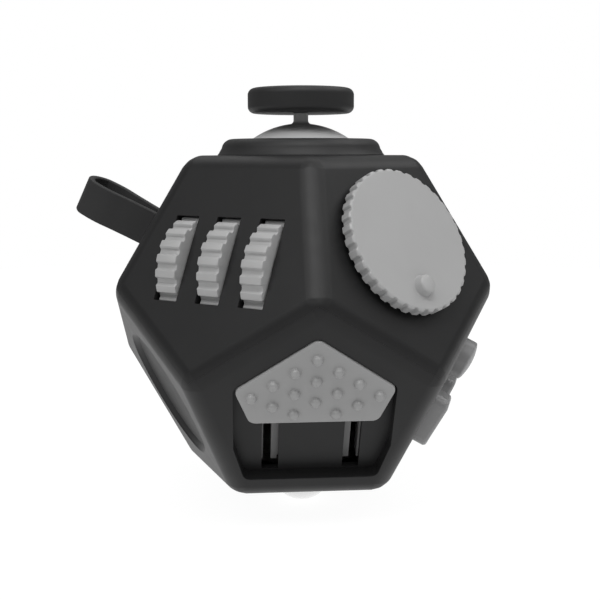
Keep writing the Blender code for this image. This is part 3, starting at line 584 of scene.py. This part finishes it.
def dodecahedron(moved_in=0.0):
    bm = box((BLOCK, BLOCK, BLOCK))
    planes = [(Vector((0, 0, 1)), TOP_DISTANCE), (Vector((0, 0, -1)), BOTTOM_DISTANCE)]
    for i in range(5):
        planes.append((face_direction("upper", 36 + 72 * i), SIDE_DISTANCE))
        planes.append((face_direction("lower", 72 * i), SIDE_DISTANCE))
    for normal, distance in planes:
        whole = bm.verts[:] + bm.edges[:] + bm.faces[:]
        cut = bmesh.ops.bisect_plane(bm, geom=whole, plane_co=normal * (distance - moved_in),
                                     plane_no=normal, clear_outer=True)
        rim = [item for item in cut["geom_cut"] if isinstance(item, bmesh.types.BMEdge)]
        bmesh.ops.holes_fill(bm, edges=rim)
    bmesh.ops.dissolve_limit(bm, angle_limit=math.radians(1), verts=bm.verts, edges=bm.edges)
    return bm


def filleted_case():
    bm = dodecahedron()
    width = EDGE_FILLET / math.tan(FACE_ANGLE / 2)
    bmesh.ops.bevel(bm, geom=bm.edges[:], offset=width, offset_type="OFFSET", segments=FILLET_SEGMENTS,
                    profile=0.5, affect="EDGES", clamp_overlap=True)
    return bm


def beyond_seam(upward):
    """Everything above, or below, the zigzag of side edges where the two shells meet."""
    sign = 1 if upward else -1
    lift = -sign * SEAM / 2
    bm = bmesh.new()
    middle = bm.verts.new((0, 0, lift))
    zigzag, far = [], []
    for i in range(10):
        turn = math.radians(36 * i)
        x, y = SEAM_REACH * math.sin(turn), -SEAM_REACH * math.cos(turn)
        zigzag.append(bm.verts.new((x, y, SEAM_REACH * SEAM_SLOPE * (1 if i % 2 == 0 else -1) + lift)))
        far.append(bm.verts.new((x, y, sign * SEAM_HEIGHT)))
    for i in range(10):
        j = (i + 1) % 10
        bm.faces.new((middle, zigzag[i], zigzag[j]))
        bm.faces.new((zigzag[i], zigzag[j], far[j], far[i]))
    bm.faces.new(far)
    return bm


def flared(outline, low, mouth):
    """A cutter with upright walls; the rim that it leaves at z = 0 is rounded by mouth."""
    steps = 5
    layers = [(0.0, low)]
    for k in range(steps + 1):
        t = math.pi / 2 * k / steps
        layers.append((mouth * (1 - math.cos(t)), RIM_LIFT - mouth * (1 - math.sin(t))))
    layers.append((mouth, CUT_HIGH))
    return stack([[(x, y, z) for x, y in inset(outline, -amount)] for amount, z in layers])


def flared_hole(radius, low, mouth):
    return flared([(x, y) for x, y, _ in circle(radius, 96, 0)], low, mouth)


def dish_cutter():
    """A gently hollow round floor inside a short steep wall with a rounded rim."""
    sphere = (DISH_FLOOR ** 2 + DISH_SAG ** 2) / (2 * DISH_SAG)
    lean = math.degrees(math.asin(DISH_FLOOR / sphere))
    profile = dome(sphere, sphere - DISH_STEP - DISH_SAG, 180, 180 - lean * 0.96, 20)
    profile += [(DISH_FLOOR + 0.08, -DISH_STEP + 0.04), (DISH_MOUTH - 0.18, -0.26)]
    profile += [(DISH_MOUTH + DISH_RIM * (1 - math.cos(t)), RIM_LIFT - DISH_RIM * (1 - math.sin(t)))
                for t in [math.pi / 2 * k / 4 for k in range(1, 5)]]
    profile += [(DISH_MOUTH + DISH_RIM, CUT_HIGH), (0, CUT_HIGH)]
    return turned(profile, 96)


def upper_cuts():
    yield placed(turned(dome(DOME_RADIUS + GAP, 0, 0, 180, 25)), moved(0, 0, PIVOT_Z))
    half = WHEEL_SLOT[0] / 2
    for i in (-1, 0, 1):
        x = i * WHEEL_PITCH
        slot = flared(rounded_box(*WHEEL_SLOT), SLOT_LOW, SLOT_RIM)
        yield placed(slot, WHEEL_FACE @ moved(x, WHEEL_SLOT_Y, 0))
        sweep = rod(WHEEL_RADIUS + GAP, x - half + SWEEP_INSET, x + half - SWEEP_INSET, 72)
        yield placed(sweep, WHEEL_AXIS)
    yield placed(rod(DIAL_SHAFT + GAP, DEEP_LOW, CUT_HIGH), DIAL_FACE @ moved(0, DIAL_Y, 0))
    strap_hole = flared(rounded_box(*STRAP_HOLE), STRAP_HOLE_LOW, SOFT_RIM)
    yield placed(strap_hole, STRAP_FACE @ moved(STRAP_X, STRAP_Y, 0))
    yield placed(flared(rounded_box(*ROCKER_HOLE), DEEP_LOW, WIDE_RIM), ROCKER_FACE)
    yield placed(rod(HUB_HOLE, HOLE_LOW, CUT_HIGH), RING_FACE)


def lower_cuts():
    yield placed(flared(plate_outline(RECESS_GROW, SLIDER_TRAVEL), -RECESS_DEPTH, RECESS_RIM), SLIDER_FACE)
    for side in (-1, 1):
        middle = (side * sum(SLOT_X) / 2, SLOT_FOOT + SLOT_LENGTH / 2, -RECESS_DEPTH)
        yield placed(box((SLOT_X[1] - SLOT_X[0], SLOT_LENGTH, SLOT_CUT), middle), SLIDER_FACE)
    button_hole = flared_hole(BUTTON_RADIUS + 0.2, HOLE_LOW, BUTTON_RIM)
    yield placed(button_hole, BUTTON_FACE @ moved(0, BUTTON_Y, 0))
    for side in (-1, 1):
        hole = flared(rounded_box(*KEY_HOLE), HOLE_LOW, BUTTON_RIM)
        yield placed(hole, BUTTON_FACE @ moved(side * KEY_X, KEY_Y, 0))
    yield placed(rod(BALL_RADIUS + 0.4, DEEP_LOW, CUT_HIGH, 72), BALL_FACE @ moved(0, 0, -BALL_SINK))
    yield placed(dish_cutter(), DISH_FACE)
    yield placed(flared(rounded_box(*TOGGLE_HOLE), DEEP_LOW, WIDE_RIM), TOGGLE_FACE)
    yield placed(flared_hole(PUSH_RADIUS + 0.25, DEEP_LOW, SOFT_RIM), PUSH_FACE)


def make_shell(name, upward, cuts, mat):
    steps = [("DIFFERENCE", dodecahedron(WALL)), ("DIFFERENCE", beyond_seam(not upward))]
    steps += [("DIFFERENCE", cut) for cut in cuts]
    piece(f"{name}_skin", combined(filleted_case(), *steps), CENTRE, mat, "case", name)


def make_case(mats):
    make_shell("upper_shell", True, upper_cuts(), mats["case"])
    make_shell("lower_shell", False, lower_cuts(), mats["case"])


# ---------------------------------------------------------------- joystick

def make_collar(pivot, mats):
    """The stepped ring round the dome: a thin foot, a round shoulder and a bore that follows the dome."""
    seat = TOP_DISTANCE - 0.01 - PIVOT_Z
    crest = seat + COLLAR_HEIGHT
    clear = DOME_RADIUS + BALL_FIT
    profile = [(math.sqrt(clear ** 2 - seat ** 2), seat), (COLLAR_BASE, seat), (COLLAR_BASE, seat + 0.1)]
    profile += [(COLLAR_BASE - 0.16, seat + 0.26), (COLLAR_BASE - 0.34, seat + 0.62)]
    tall = COLLAR_SHOULDER * SHOULDER_SQUASH
    middle = (COLLAR_BASE - 0.52 - COLLAR_SHOULDER, crest - tall)
    for k in range(9):
        t = math.radians(8 + 82 * k / 8)
        profile.append((middle[0] + COLLAR_SHOULDER * math.cos(t), middle[1] + tall * math.sin(t)))
    lip = math.sqrt(clear ** 2 - crest ** 2)
    profile += [(lip + 0.35, crest), (lip + 0.12, crest - 0.05), (lip + 0.06, crest - 0.2)]
    for k in range(1, 6):
        z = crest - 0.2 + (seat - crest + 0.2) * k / 6
        profile.append((math.sqrt(clear ** 2 - z ** 2), z))
    piece("collar", turned(profile, 96, ring=True), pivot, mats["grip"], "case", "joystick_collar")


def make_stick(pivot, stem_top, mats):
    """Tail, dome and stem in one moulding, with the pin that the gimbal ring turns on."""
    foot_radius = STEM_RADIUS + STEM_FILLET
    crown = math.degrees(math.asin(foot_radius / DOME_RADIUS))
    inner = DOME_RADIUS - DOME_WALL
    low = -TAIL_LENGTH
    profile = [(0, low), (TAIL_KNOB - 0.2, low), (TAIL_KNOB, low + 0.2), (TAIL_KNOB, low + 0.7)]
    profile += [(TAIL_RADIUS + 0.1, low + 1.1), (TAIL_RADIUS, low + 1.3), (TAIL_RADIUS, inner - 0.6)]
    profile += dome(inner, 0, 12, DOME_ANGLE, 16)
    profile += dome(DOME_RADIUS, 0, DOME_ANGLE, crown, 24)
    foot = math.sqrt(DOME_RADIUS ** 2 - foot_radius ** 2)
    for k in range(1, 7):
        t = math.pi / 2 * k / 6
        out, up = STEM_FILLET * (1 - math.sin(t)), STEM_FILLET * (1 - math.cos(t))
        profile.append((STEM_RADIUS + out, foot + up))
    profile += [(STEM_RADIUS, stem_top), (0, stem_top)]
    pin = placed(rod(GIMBAL_PIN_RADIUS, -RING_REACH, RING_REACH, 24), turned_to("X", 90))
    stick = combined(turned(profile, 72), ("UNION", pin))
    piece("stick_and_dome", stick, pivot, mats["dome"], "joystick", "joystick_stick")


def make_cap(pivot, stem_top, mats):
    """The thumb cap, with a socket for the stem and a slight hollow in its top."""
    low, high = CAP_LOW - PIVOT_Z, CAP_HIGH - PIVOT_Z
    socket = STEM_RADIUS + SOCKET_FIT
    roof = stem_top + SOCKET_FIT
    profile = [(0, roof), (socket, roof), (socket, low + 0.1), (socket + 0.1, low)]
    rim = CAP_RADIUS - CAP_EDGE
    profile += [(rim + r, low + CAP_EDGE + z) for r, z in arc(CAP_EDGE, -90, 0, 12)]
    profile += [(rim + r, high - CAP_EDGE + z) for r, z in arc(CAP_EDGE, 0, 90, 12)]
    profile += [(rim - 0.5, high - 0.01), (rim * 0.7, high - 0.1), (rim * 0.4, high - 0.19), (0, high - 0.24)]
    piece("thumb_cap", turned(profile, 96), pivot, mats["grip"], "joystick", "joystick_cap")


def make_joystick(mats):
    pivot = CENTRE @ moved(0, 0, PIVOT_Z)
    stem_top = CAP_LOW + STEM_IN_CAP - PIVOT_Z
    make_collar(pivot, mats)
    make_stick(pivot, stem_top, mats)
    make_cap(pivot, stem_top, mats)


# ---------------------------------------------------------------- wheels and dial

def make_wheels(mats):
    rim = ridged(WHEEL_RADIUS, RIDGE_DEPTH, WHEEL_RIDGES)
    count = len(rim)
    half = WHEEL_WIDTH / 2
    outer, inner = WHEEL_HOLLOW
    side = [(outer, 0), (outer - HOLLOW_SLOPE, HOLLOW_DEPTH), (inner + HOLLOW_SLOPE, HOLLOW_DEPTH)]
    side += [(inner, 0), (AXLE_RADIUS + AXLE_FIT, 0)]
    for i, name in enumerate(("left", "middle", "right")):
        loops = [[(x, y, z) for x, y in inset(rim, amount)]
                 for amount, z in softened(-half, half, WHEEL_EDGE, WHEEL_EDGE, 3)]
        loops += [circle(radius, count, half - depth) for radius, depth in side]
        loops += [circle(radius, count, depth - half) for radius, depth in reversed(side)]
        place = CENTRE @ WHEEL_AXIS @ moved(0, 0, (i - 1) * WHEEL_PITCH)
        piece(f"ridged_wheel_{name}", stack(loops, ring=True), place, mats["wheel"], f"wheel_{name}",
              f"gear_wheel_{name}")


def dial_disc():
    """The scalloped disc, whose upper edge blends into an even circle."""
    rim = ridged(DIAL_RADIUS, SCALLOP_DEPTH, DIAL_SCALLOPS, 14)
    top_radius = DIAL_RADIUS - SCALLOP_DEPTH - DIAL_EDGE * 0.5
    loops = [[(x, y, DIAL_LOW) for x, y in inset(rim, DIAL_LOW_EDGE)],
             [(x, y, DIAL_LOW + DIAL_LOW_EDGE) for x, y in rim]]
    for k in range(6):
        t = math.pi / 2 * k / 5
        share = 1 - math.cos(t)
        z = DIAL_HIGH - DIAL_EDGE * (1 - math.sin(t))
        even = circle(top_radius, len(rim), z)
        loops.append([(x + (a - x) * share, y + (b - y) * share, z) for (x, y), (a, b, _) in zip(rim, even)])
    return placed(stack(loops), turned_to("Z", DIAL_PHASE))


def dial_shaft():
    """The shaft, with a groove for its clip behind the wall."""
    low = DIAL_SHAFT_LOW
    high, deep = CLIP_GROOVE
    profile = [(0, low), (DIAL_SHAFT - 0.4, low), (DIAL_SHAFT, low + 0.4), (DIAL_SHAFT, deep)]
    profile += [(CLIP_RADIUS, deep), (CLIP_RADIUS, high), (DIAL_SHAFT, high), (DIAL_SHAFT, 1.2), (0, 1.2)]
    return turned(profile, 32)


def dial_nub():
    base, top = DIAL_HIGH, DIAL_HIGH + NUB_HEIGHT
    profile = [(0, base - 0.5), (NUB_BASE + 0.1, base - 0.5), (NUB_BASE + 0.1, base)]
    profile += [(NUB_BASE + 0.03, base + 0.03), (NUB_BASE, base + 0.12), (NUB_TOP, top - 0.32)]
    profile += [(NUB_TOP - 0.3 + r, top - 0.32 + z) for r, z in arc(0.3, 15, 75, 6)]
    profile += [(NUB_TOP * 0.35, top - 0.01), (0, top)]
    return placed(turned(profile, 48), moved(*NUB_PLACE, 0))


def make_dial(mats):
    bm = combined(dial_disc(), ("UNION", dial_shaft()), ("UNION", dial_nub()))
    piece("dial", bm, CENTRE @ DIAL_FACE @ moved(0, DIAL_Y, 0), mats["dial"], "dial", "dial_disc",
          26)


# ---------------------------------------------------------------- slider

def plate_outline(grow=0.0, drop=0.0):
    """The five-sided thumb plate, or with drop the space that it sweeps."""
    x, high = PLATE_REACH + grow, PLATE_SHOULDER
    corners = [(0, PLATE_TIP + 1.25 * grow), (-x, high)]
    if drop:
        foot, low = RECESS_FOOT + grow, RECESS_LOW - grow - drop
        corners += [(-x, high - drop), (-foot, low), (foot, low), (x, high - drop)]
    else:
        foot, low = PLATE_FOOT, PLATE_LOW - grow
        corners += [(-foot, low), (foot, low)]
    corners.append((x, high))
    return rounded(corners, PLATE_CORNER)


def bump():
    """A round-topped pip standing on z = 0, its foot blended into the plate."""
    profile = [(0, -0.4), (BUMP_RADIUS + 0.12, -0.4), (BUMP_RADIUS + 0.12, 0.0), (BUMP_RADIUS + 0.03, 0.03)]
    profile += dome(BUMP_RADIUS, 0.04, 84, 0, 10)
    return turned(profile, 28)


def make_slider(mats):
    steps = []
    for side in (-1, 1):
        size = (*BLADE_SIZE, BLADE_Z[1] - BLADE_Z[0])
        steps.append(("UNION", box(size, (side * BLADE_X, BLADE_Y, sum(BLADE_Z) / 2))))
    for row, reach in enumerate((3, 2, 1)):
        for column in range(-reach, reach + 1):
            x = column * BUMP_COLUMN
            y = BUMP_TOP_ROW - row * BUMP_ROW - abs(x) * math.tan(CHEVRON)
            steps.append(("UNION", placed(bump(), moved(x, y, PLATE_HIGH))))
    plate = soft_prism(plate_outline(), PLATE_CLEARANCE - RECESS_DEPTH, PLATE_HIGH, 0.15, 0.2)
    piece("slider_thumb_plate", combined(plate, *steps), CENTRE @ SLIDER_FACE, mats["slider"], "slider",
          "slider_plate", 26)


# ---------------------------------------------------------------- button face

def key_height(y, humped):
    """The top of a key along its length; the humped one swells at its upper end."""
    if not humped:
        return KEY_HEIGHT
    height, place, half_width = KEY_HUMP
    return KEY_HEIGHT + height * math.exp(-((y - place) / half_width) ** 2)


def key_outline(grow, corner=KEY_CORNER):
    return rounded_box(KEY_SIZE[0] + 2 * grow, KEY_SIZE[1] + 2 * grow, corner)


def key(humped):
    low, high = FLANGE
    loops = []
    for grow, z in ((KEY_FLANGE, low), (KEY_FLANGE, high), (0.0, high), (0.0, KEY_HEIGHT - 1.2)):
        loops.append([(x, y, z) for x, y in key_outline(grow)])
    for k in range(7):
        t = math.pi / 2 * k / 6
        amount = KEY_EDGE * (1 - math.cos(t))
        drop = KEY_EDGE * (1 - math.sin(t))
        outline = key_outline(-amount, KEY_CORNER - amount)
        loops.append([(x, y, key_height(y, humped) - drop) for x, y in outline])
    for amount in (0.8, 1.1, 1.5, 1.9, 2.2):
        outline = key_outline(-amount, max(0.06, KEY_CORNER - amount))
        loops.append([(x, y, key_height(y, humped)) for x, y in outline])
    return stack(loops)


def domed_button():
    low, high = FLANGE
    rise = BUTTON_CREST - BUTTON_SIDE
    sphere = (BUTTON_RADIUS ** 2 + rise ** 2) / (2 * rise)
    half = math.degrees(math.asin((BUTTON_RADIUS - 0.25) / sphere))
    profile = [(0, low), (BUTTON_FLANGE, low), (BUTTON_FLANGE, high), (BUTTON_RADIUS, high)]
    profile += [(BUTTON_RADIUS - BUTTON_EDGE + r, BUTTON_SIDE - BUTTON_EDGE + z + 0.06)
                for r, z in arc(BUTTON_EDGE, 0, 65, 6)]
    profile += dome(sphere, BUTTON_CREST - sphere, half * 0.94, 0, 12)
    return turned(profile, 64)


def make_buttons(mats):
    piece("domed_button", domed_button(), CENTRE @ BUTTON_FACE @ moved(0, BUTTON_Y, 0), mats["key"],
          "round_button", "round_button", 40)
    for name, direction in (("left", -1), ("right", 1)):
        place = CENTRE @ BUTTON_FACE @ moved(direction * KEY_X, KEY_Y, 0)
        piece(f"long_key_{name}", key(direction < 0), place, mats["key"], f"key_{name}", f"click_key_{name}",
              40)


# ---------------------------------------------------------------- strap loop

def loop_half_width(z):
    """Half the space between the two sides of the fold, which widens towards its end."""
    share = max(0.0, min(1.0, (z + 1.0) / 11.4))
    return STRAP_NECK + STRAP_SWELL * share ** 1.6


def smooth_closed(points, per_span=5):
    """A closed Catmull-Rom curve through points."""
    count = len(points)
    curve = []
    for i in range(count):
        a, b, c, d = (Vector(points[(i + k) % count]) for k in (-1, 0, 1, 2))
        for k in range(per_span):
            t = k / per_span
            curve.append(0.5 * (2 * b + (c - a) * t + (2 * a - 5 * b + 4 * c - d) * t * t
                                + (3 * b - a - 3 * c + d) * t * t * t))
    return curve


def strap_line():
    """Up one side of the fold, round its end and down the other, round the pin."""
    heights = [-2.6, -0.6, 1.4, 3.4, 5.6, 8.0, 10.4]
    right = [(loop_half_width(z), z) for z in heights]
    wide = loop_half_width(STRAP_TIP_START)
    tall = STRAP_REACH - STRAP_THICKNESS / 2 - STRAP_TIP_START
    tip = [(wide * math.cos(t), STRAP_TIP_START + tall * math.sin(t))
           for t in [math.pi * i / 8 for i in range(1, 8)]]
    left = [(-x, z) for x, z in reversed(right)]
    pin = arc(STRAP_PIN_TURN, 150, 390, 9, (0, STRAP_PIN_Z))
    return smooth_closed(right + tip + left + pin)


def make_strap(mats):
    line = strap_line()
    section = rounded_box(STRAP_THICKNESS, STRAP_WIDTH, 0.2, 4)
    loops = []
    for i, here in enumerate(line):
        along = (line[(i + 1) % len(line)] - line[i - 1]).normalized()
        normal = Vector((along.y, -along.x))
        loops.append([(here.x + normal.x * a, here.y + normal.y * a, b) for a, b in section])
    place = CENTRE @ STRAP_FACE @ moved(STRAP_X, STRAP_Y, 0) @ turned_to("X", 90)
    piece("finger_strap", stack(loops, ring=True), place, mats["silicone"], "case", "strap_loop",
          45)


# ---------------------------------------------------------------- ball

def make_ball(mats):
    """The ball, with a fine moulding line round it square to its axis, and the ring that holds it."""
    centre = CENTRE @ BALL_FACE @ moved(0, 0, -BALL_SINK)
    profile = dome(BALL_RADIUS, 0, 0, 89.4, 40)
    profile += [(BALL_RADIUS - 0.03, 0)]
    profile += dome(BALL_RADIUS, 0, 90.6, 180, 40)
    ball = placed(turned(profile, 96), turned_to("X", 90))
    piece("rolling_ball", ball, centre, mats["ball"], "ball", "roller_ball", 60)

    clear = BALL_RADIUS + BALL_FIT
    seat, lip = 0.06 + BALL_SINK, BEZEL_LIP + BALL_SINK
    profile = [(math.sqrt(clear ** 2 - seat ** 2), seat), (BEZEL_RADIUS, seat), (BEZEL_RADIUS, seat + 0.3)]
    round_middle = BEZEL_RADIUS - BEZEL_ROUND - 0.3
    profile += [(round_middle + r, lip - BEZEL_ROUND + z) for r, z in arc(BEZEL_ROUND, 12, 90, 9)]
    inner = math.sqrt(clear ** 2 - lip ** 2)
    profile += [(inner + 0.3, lip), (inner + 0.08, lip - 0.08)]
    profile += [(math.sqrt(clear ** 2 - z ** 2), z) for z in (lip - 0.3, lip - 0.8, lip - 1.2)]
    piece("ball_bezel", turned(profile, 96, ring=True), centre, mats["grip"], "case", "ball_retaining_ring")


# ---------------------------------------------------------------- rocker, toggle, twist ring, push button

def pivot_hole():
    return rod(PIVOT_HOLE, -9, 9, 32)


def make_rocker(mats):
    half = ROCKER_LENGTH / 2
    between = ROCKER_MIDDLE + (ROCKER_END - ROCKER_MIDDLE) * 0.35

    def groove(share):
        """The corners, with their radii, of a grip groove across one end of the rocker."""
        surface = between + (ROCKER_END - between) * (abs(share) - 0.55) / 0.45
        wide, deep = 0.25, 0.2
        slope = math.copysign((ROCKER_END - between) / (0.45 * half), share) * wide
        x = share * half
        corners = ((x - wide, surface - slope), (x, surface - deep), (x + wide, surface + slope))
        return [(*corner, 0.08) for corner in corners]

    top = [(-half, ROCKER_END, 0.3), *groove(-0.80), *groove(-0.64), (-half * 0.55, between, 3.0)]
    top += [(0, ROCKER_MIDDLE, 6.0), (half * 0.55, between, 3.0)]
    top += [*groove(0.64), *groove(0.80), (half, ROCKER_END, 0.3)]
    corners = (top + [(half, 2.4, 0.5), (1.9, -1.7, 0.8), (-1.9, -1.7, 0.8), (-half, 2.4, 0.5)])[::-1]
    outline = rounded([corner[:2] for corner in corners], [corner[2] for corner in corners], 5)
    body = soft_prism(outline, -ROCKER_WIDTH / 2, ROCKER_WIDTH / 2, 0.2, 0.2)
    place = CENTRE @ ROCKER_FACE @ moved(0, 0, PIVOT_DEPTH) @ turned_to("X", 90)
    place = place @ turned_to("Z", ROCKER_THROW)
    piece("rocker", combined(body, ("DIFFERENCE", pivot_hole())), place, mats["slider"], "rocker",
          "rocker_switch")


def make_toggle(mats):
    side = [(1.6, -1.5), (1.5, 3.6), (1.15, TOGGLE_TIP), (-1.15, TOGGLE_TIP), (-1.5, 3.6), (-1.6, -1.5)]
    outline = rounded(side, (0.5, 3.0, 0.8, 0.8, 3.0, 0.5), 8)
    lever = soft_prism(outline, -TOGGLE_HALF_WIDTH, TOGGLE_HALF_WIDTH, 0.45, 0.45)
    body = combined(lever, ("DIFFERENCE", pivot_hole()))
    place = CENTRE @ TOGGLE_FACE @ moved(0, 0, PIVOT_DEPTH) @ turned_to("Z", 90) @ turned_to("X", 90)
    place = place @ turned_to("Z", TOGGLE_THROW)
    piece("toggle", body, place, mats["slider"], "toggle", "toggle_lever")


def make_twist_ring(mats):
    low, high = RING_Z
    count = RING_LOBES * 24
    rim = []
    for i in range(count):
        turn = 2 * math.pi * i / count
        reach = RING_OUTER - LOBE_DEPTH * (0.5 - 0.5 * math.cos(RING_LOBES * turn))
        rim.append((reach * math.cos(turn), reach * math.sin(turn)))
    loops = [[(x, y, z) for x, y in inset(rim, amount)] for amount, z in softened(low, high, 0.15, 0.5, 5)]
    loops += [circle(RING_INNER + 0.25, count, high), circle(RING_INNER + 0.05, count, high - 0.07)]
    loops += [circle(RING_INNER, count, high - 0.25), circle(RING_INNER, count, low)]
    piece("knurled_ring", stack(loops, ring=True), CENTRE @ RING_FACE, mats["dial"], "ring", "twist_ring")

    neck = RING_INNER - 0.3
    top = high + 1.1
    profile = [(1.0, -1.9), (1.8, -1.9), (1.8, 0.1), (neck, 0.1), (neck, high + 0.12)]
    profile.append((neck + 0.9, high + 0.12))
    profile += [(neck + 0.4 + r, high + 0.4 + z) for r, z in arc(0.6, 0, 80, 7)]
    profile += [(neck - 0.6, top), (neck * 0.6, top - 0.12), (0, top - 0.28), (0, 1.2), (1.0, 1.2)]
    piece("ring_hub", turned(profile, 72, ring=True), CENTRE @ RING_FACE, mats["grip"], "case", "twist_hub")


def make_push_button(mats):
    low, high = INSIDE - 1.1, INSIDE - 0.1
    profile = [(0, low), (PUSH_FLANGE, low), (PUSH_FLANGE, high), (PUSH_RADIUS, high)]
    profile += [(PUSH_RADIUS - PUSH_EDGE + r, 1.25 + z) for r, z in arc(PUSH_EDGE, 0, 90, 7)]
    profile += [(PUSH_RADIUS - 0.9, 1.66), (2.6, 1.52), (1.3, 1.43), (0, 1.4)]
    piece("push_cap", turned(profile, 72), CENTRE @ PUSH_FACE, mats["slider"], "push", "push_button",
          40)


# ---------------------------------------------------------------- coil springs

def coil(radius, wire, turns, length):
    """A helical spring of round wire standing on z = 0."""
    per_turn, sides = 32, 10
    count = int(turns * per_turn)
    bm = bmesh.new()
    rings = []
    for i in range(count + 1):
        turn = 2 * math.pi * i / per_turn
        outward = Vector((math.cos(turn), math.sin(turn), 0))
        middle = outward * radius + Vector((0, 0, wire + (length - 2 * wire) * i / count))
        ring = []
        for k in range(sides):
            spin = 2 * math.pi * k / sides
            across = outward * math.cos(spin) * wire
            ring.append(bm.verts.new(middle + across + Vector((0, 0, math.sin(spin) * wire))))
        rings.append(ring)
    for ring, following in zip(rings, rings[1:]):
        for k in range(sides):
            j = (k + 1) % sides
            bm.faces.new((ring[k], ring[j], following[j], following[k]))
    bm.faces.new(rings[0])
    bm.faces.new(rings[-1])
    return bm


def press_spring(cad_node, place, shape, mats):
    """A spring under a button."""
    obj = piece(f"{cad_node}_coil", coil(*shape), place, mats["steel"], "case", cad_node, 60)
    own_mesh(obj)


def make_springs(mats):
    place = CENTRE @ BUTTON_FACE @ moved(0, BUTTON_Y, BUTTON_SPRING_Z)
    press_spring("round_button_spring", place, ROUND_SPRING,
                 mats)
    for name, side in (("left", -1), ("right", 1)):
        place = CENTRE @ BUTTON_FACE @ moved(side * KEY_X, KEY_Y, BUTTON_SPRING_Z)
        press_spring(f"click_key_spring_{name}", place, KEY_SPRING,
                     mats)
    place = CENTRE @ PUSH_FACE @ moved(0, 0, PUSH_SPRING_Z)
    press_spring("push_button_spring", place, PUSH_SPRING, mats)


# ---------------------------------------------------------------- what stays as the CAD has it

def inner_material(name):
    if name == "slider_guide":
        return "guide"
    metal_words = ("spring", "screw", "pin", "axle", "clip")
    metal = any(word in name for word in metal_words) and not name.endswith("cup")
    return "steel" if metal else "nylon"


def finish_inner_nodes(mats):
    """Pins, springs, screws and clips are steel; the brackets and carriers behind the faces are nylon."""
    for name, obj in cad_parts.items():
        if obj.hide_render:
            continue
        obj.data.materials.clear()
        obj.data.materials.append(mats[inner_material(name)])


# ---------------------------------------------------------------- studio

CAMERA_PLACE = (-7.37, -132.87, 48.07)
CAMERA_PITCH = 81.4875
CAMERA_ROLL = 0.11
CAMERA_YAW = -4.6425
CAMERA_LENS = 59.12
SENSOR = 36.0
FLOOR_RADIUS = 0.3             # metres
FLOOR_GREY = 0.08
FLOOR_GLOW = 0.955
BACKDROP = 1.0
AMBIENT = 0.22
SOFTBOXES = (                  # name, azimuth, elevation, strength, spread
    ("left_softbox", -60, 40, 0.52, 30),
    ("key_softbox", -30, 50, 0.37, 25),
    ("key_lamp", -15, 55, 0.38, 12),
    ("top_softbox", 0, 70, 0.79, 30),
    ("front_softbox", 25, 50, 0.52, 25),
    ("right_softbox", 70, 40, 0.40, 40),
    ("rim_softbox", 110, 50, 0.55, 30),
    ("back_softbox", 180, 60, 0.57, 50),
)


def make_camera():
    data = bpy.data.cameras.new("studio_camera")
    data.lens = CAMERA_LENS
    data.sensor_width = SENSOR
    data.clip_start = 0.005
    camera = bpy.data.objects.new("studio_camera", data)
    camera.location = [value * MM for value in CAMERA_PLACE]
    turns = [math.radians(angle) for angle in (CAMERA_PITCH, CAMERA_ROLL, CAMERA_YAW)]
    camera.rotation_euler = Euler(turns, "XYZ")
    bpy.context.scene.collection.objects.link(camera)
    bpy.context.scene.camera = camera


def make_floor():
    bm = bmesh.new()
    bmesh.ops.create_circle(bm, cap_ends=True, segments=96, radius=FLOOR_RADIUS)
    obj = scratch_object("studio_floor", bm)
    mat = bpy.data.materials.new("pale_floor")
    mat.use_nodes = True
    shader = mat.node_tree.nodes["Principled BSDF"]
    shader.inputs["Base Color"].default_value = (FLOOR_GREY, FLOOR_GREY, FLOOR_GREY, 1)
    shader.inputs["Roughness"].default_value = 1.0
    shader.inputs["Specular IOR Level"].default_value = 0.0
    shader.inputs["Emission Color"].default_value = (1, 1, 1, 1)
    shader.inputs["Emission Strength"].default_value = FLOOR_GLOW
    obj.data.materials.append(mat)


def sun(name, azimuth, elevation, strength, spread_angle):
    """Soft light from a direction; azimuth is counted from -Y towards +X."""
    data = bpy.data.lights.new(name, "SUN")
    data.energy = strength
    data.angle = math.radians(spread_angle)
    obj = bpy.data.objects.new(name, data)
    a, e = math.radians(azimuth), math.radians(elevation)
    towards = Vector((math.sin(a) * math.cos(e), -math.cos(a) * math.cos(e), math.sin(e)))
    obj.rotation_euler = towards.to_track_quat("Z", "Y").to_euler()
    bpy.context.scene.collection.objects.link(obj)


def make_lights():
    for softbox in SOFTBOXES:
        sun(*softbox)
    make_world()


def make_world():
    """A white backdrop for the camera, and a dimmer one to light the toy by."""
    world = bpy.data.worlds.new("studio")
    bpy.context.scene.world = world
    world.use_nodes = True
    tree = world.node_tree
    seen = tree.nodes["Background"]
    seen.inputs["Color"].default_value = (1, 1, 1, 1)
    seen.inputs["Strength"].default_value = BACKDROP
    lit = node(tree, "ShaderNodeBackground")
    lit.inputs["Color"].default_value = (1, 1, 1, 1)
    lit.inputs["Strength"].default_value = AMBIENT
    ray = node(tree, "ShaderNodeLightPath")
    mix = node(tree, "ShaderNodeMixShader")
    tree.links.new(ray.outputs["Is Camera Ray"], mix.inputs["Fac"])
    tree.links.new(lit.outputs["Background"], mix.inputs[1])
    tree.links.new(seen.outputs["Background"], mix.inputs[2])
    tree.links.new(mix.outputs["Shader"], tree.nodes["World Output"].inputs["Surface"])


def main():
    mats = make_materials()
    make_case(mats)
    make_joystick(mats)
    make_wheels(mats)
    make_dial(mats)
    make_slider(mats)
    make_buttons(mats)
    make_strap(mats)
    make_ball(mats)
    make_rocker(mats)
    make_toggle(mats)
    make_twist_ring(mats)
    make_push_button(mats)
    make_springs(mats)
    finish_inner_nodes(mats)
    make_floor()
    make_lights()
    make_camera()
    bpy.context.scene.view_settings.view_transform = "Standard"


main()
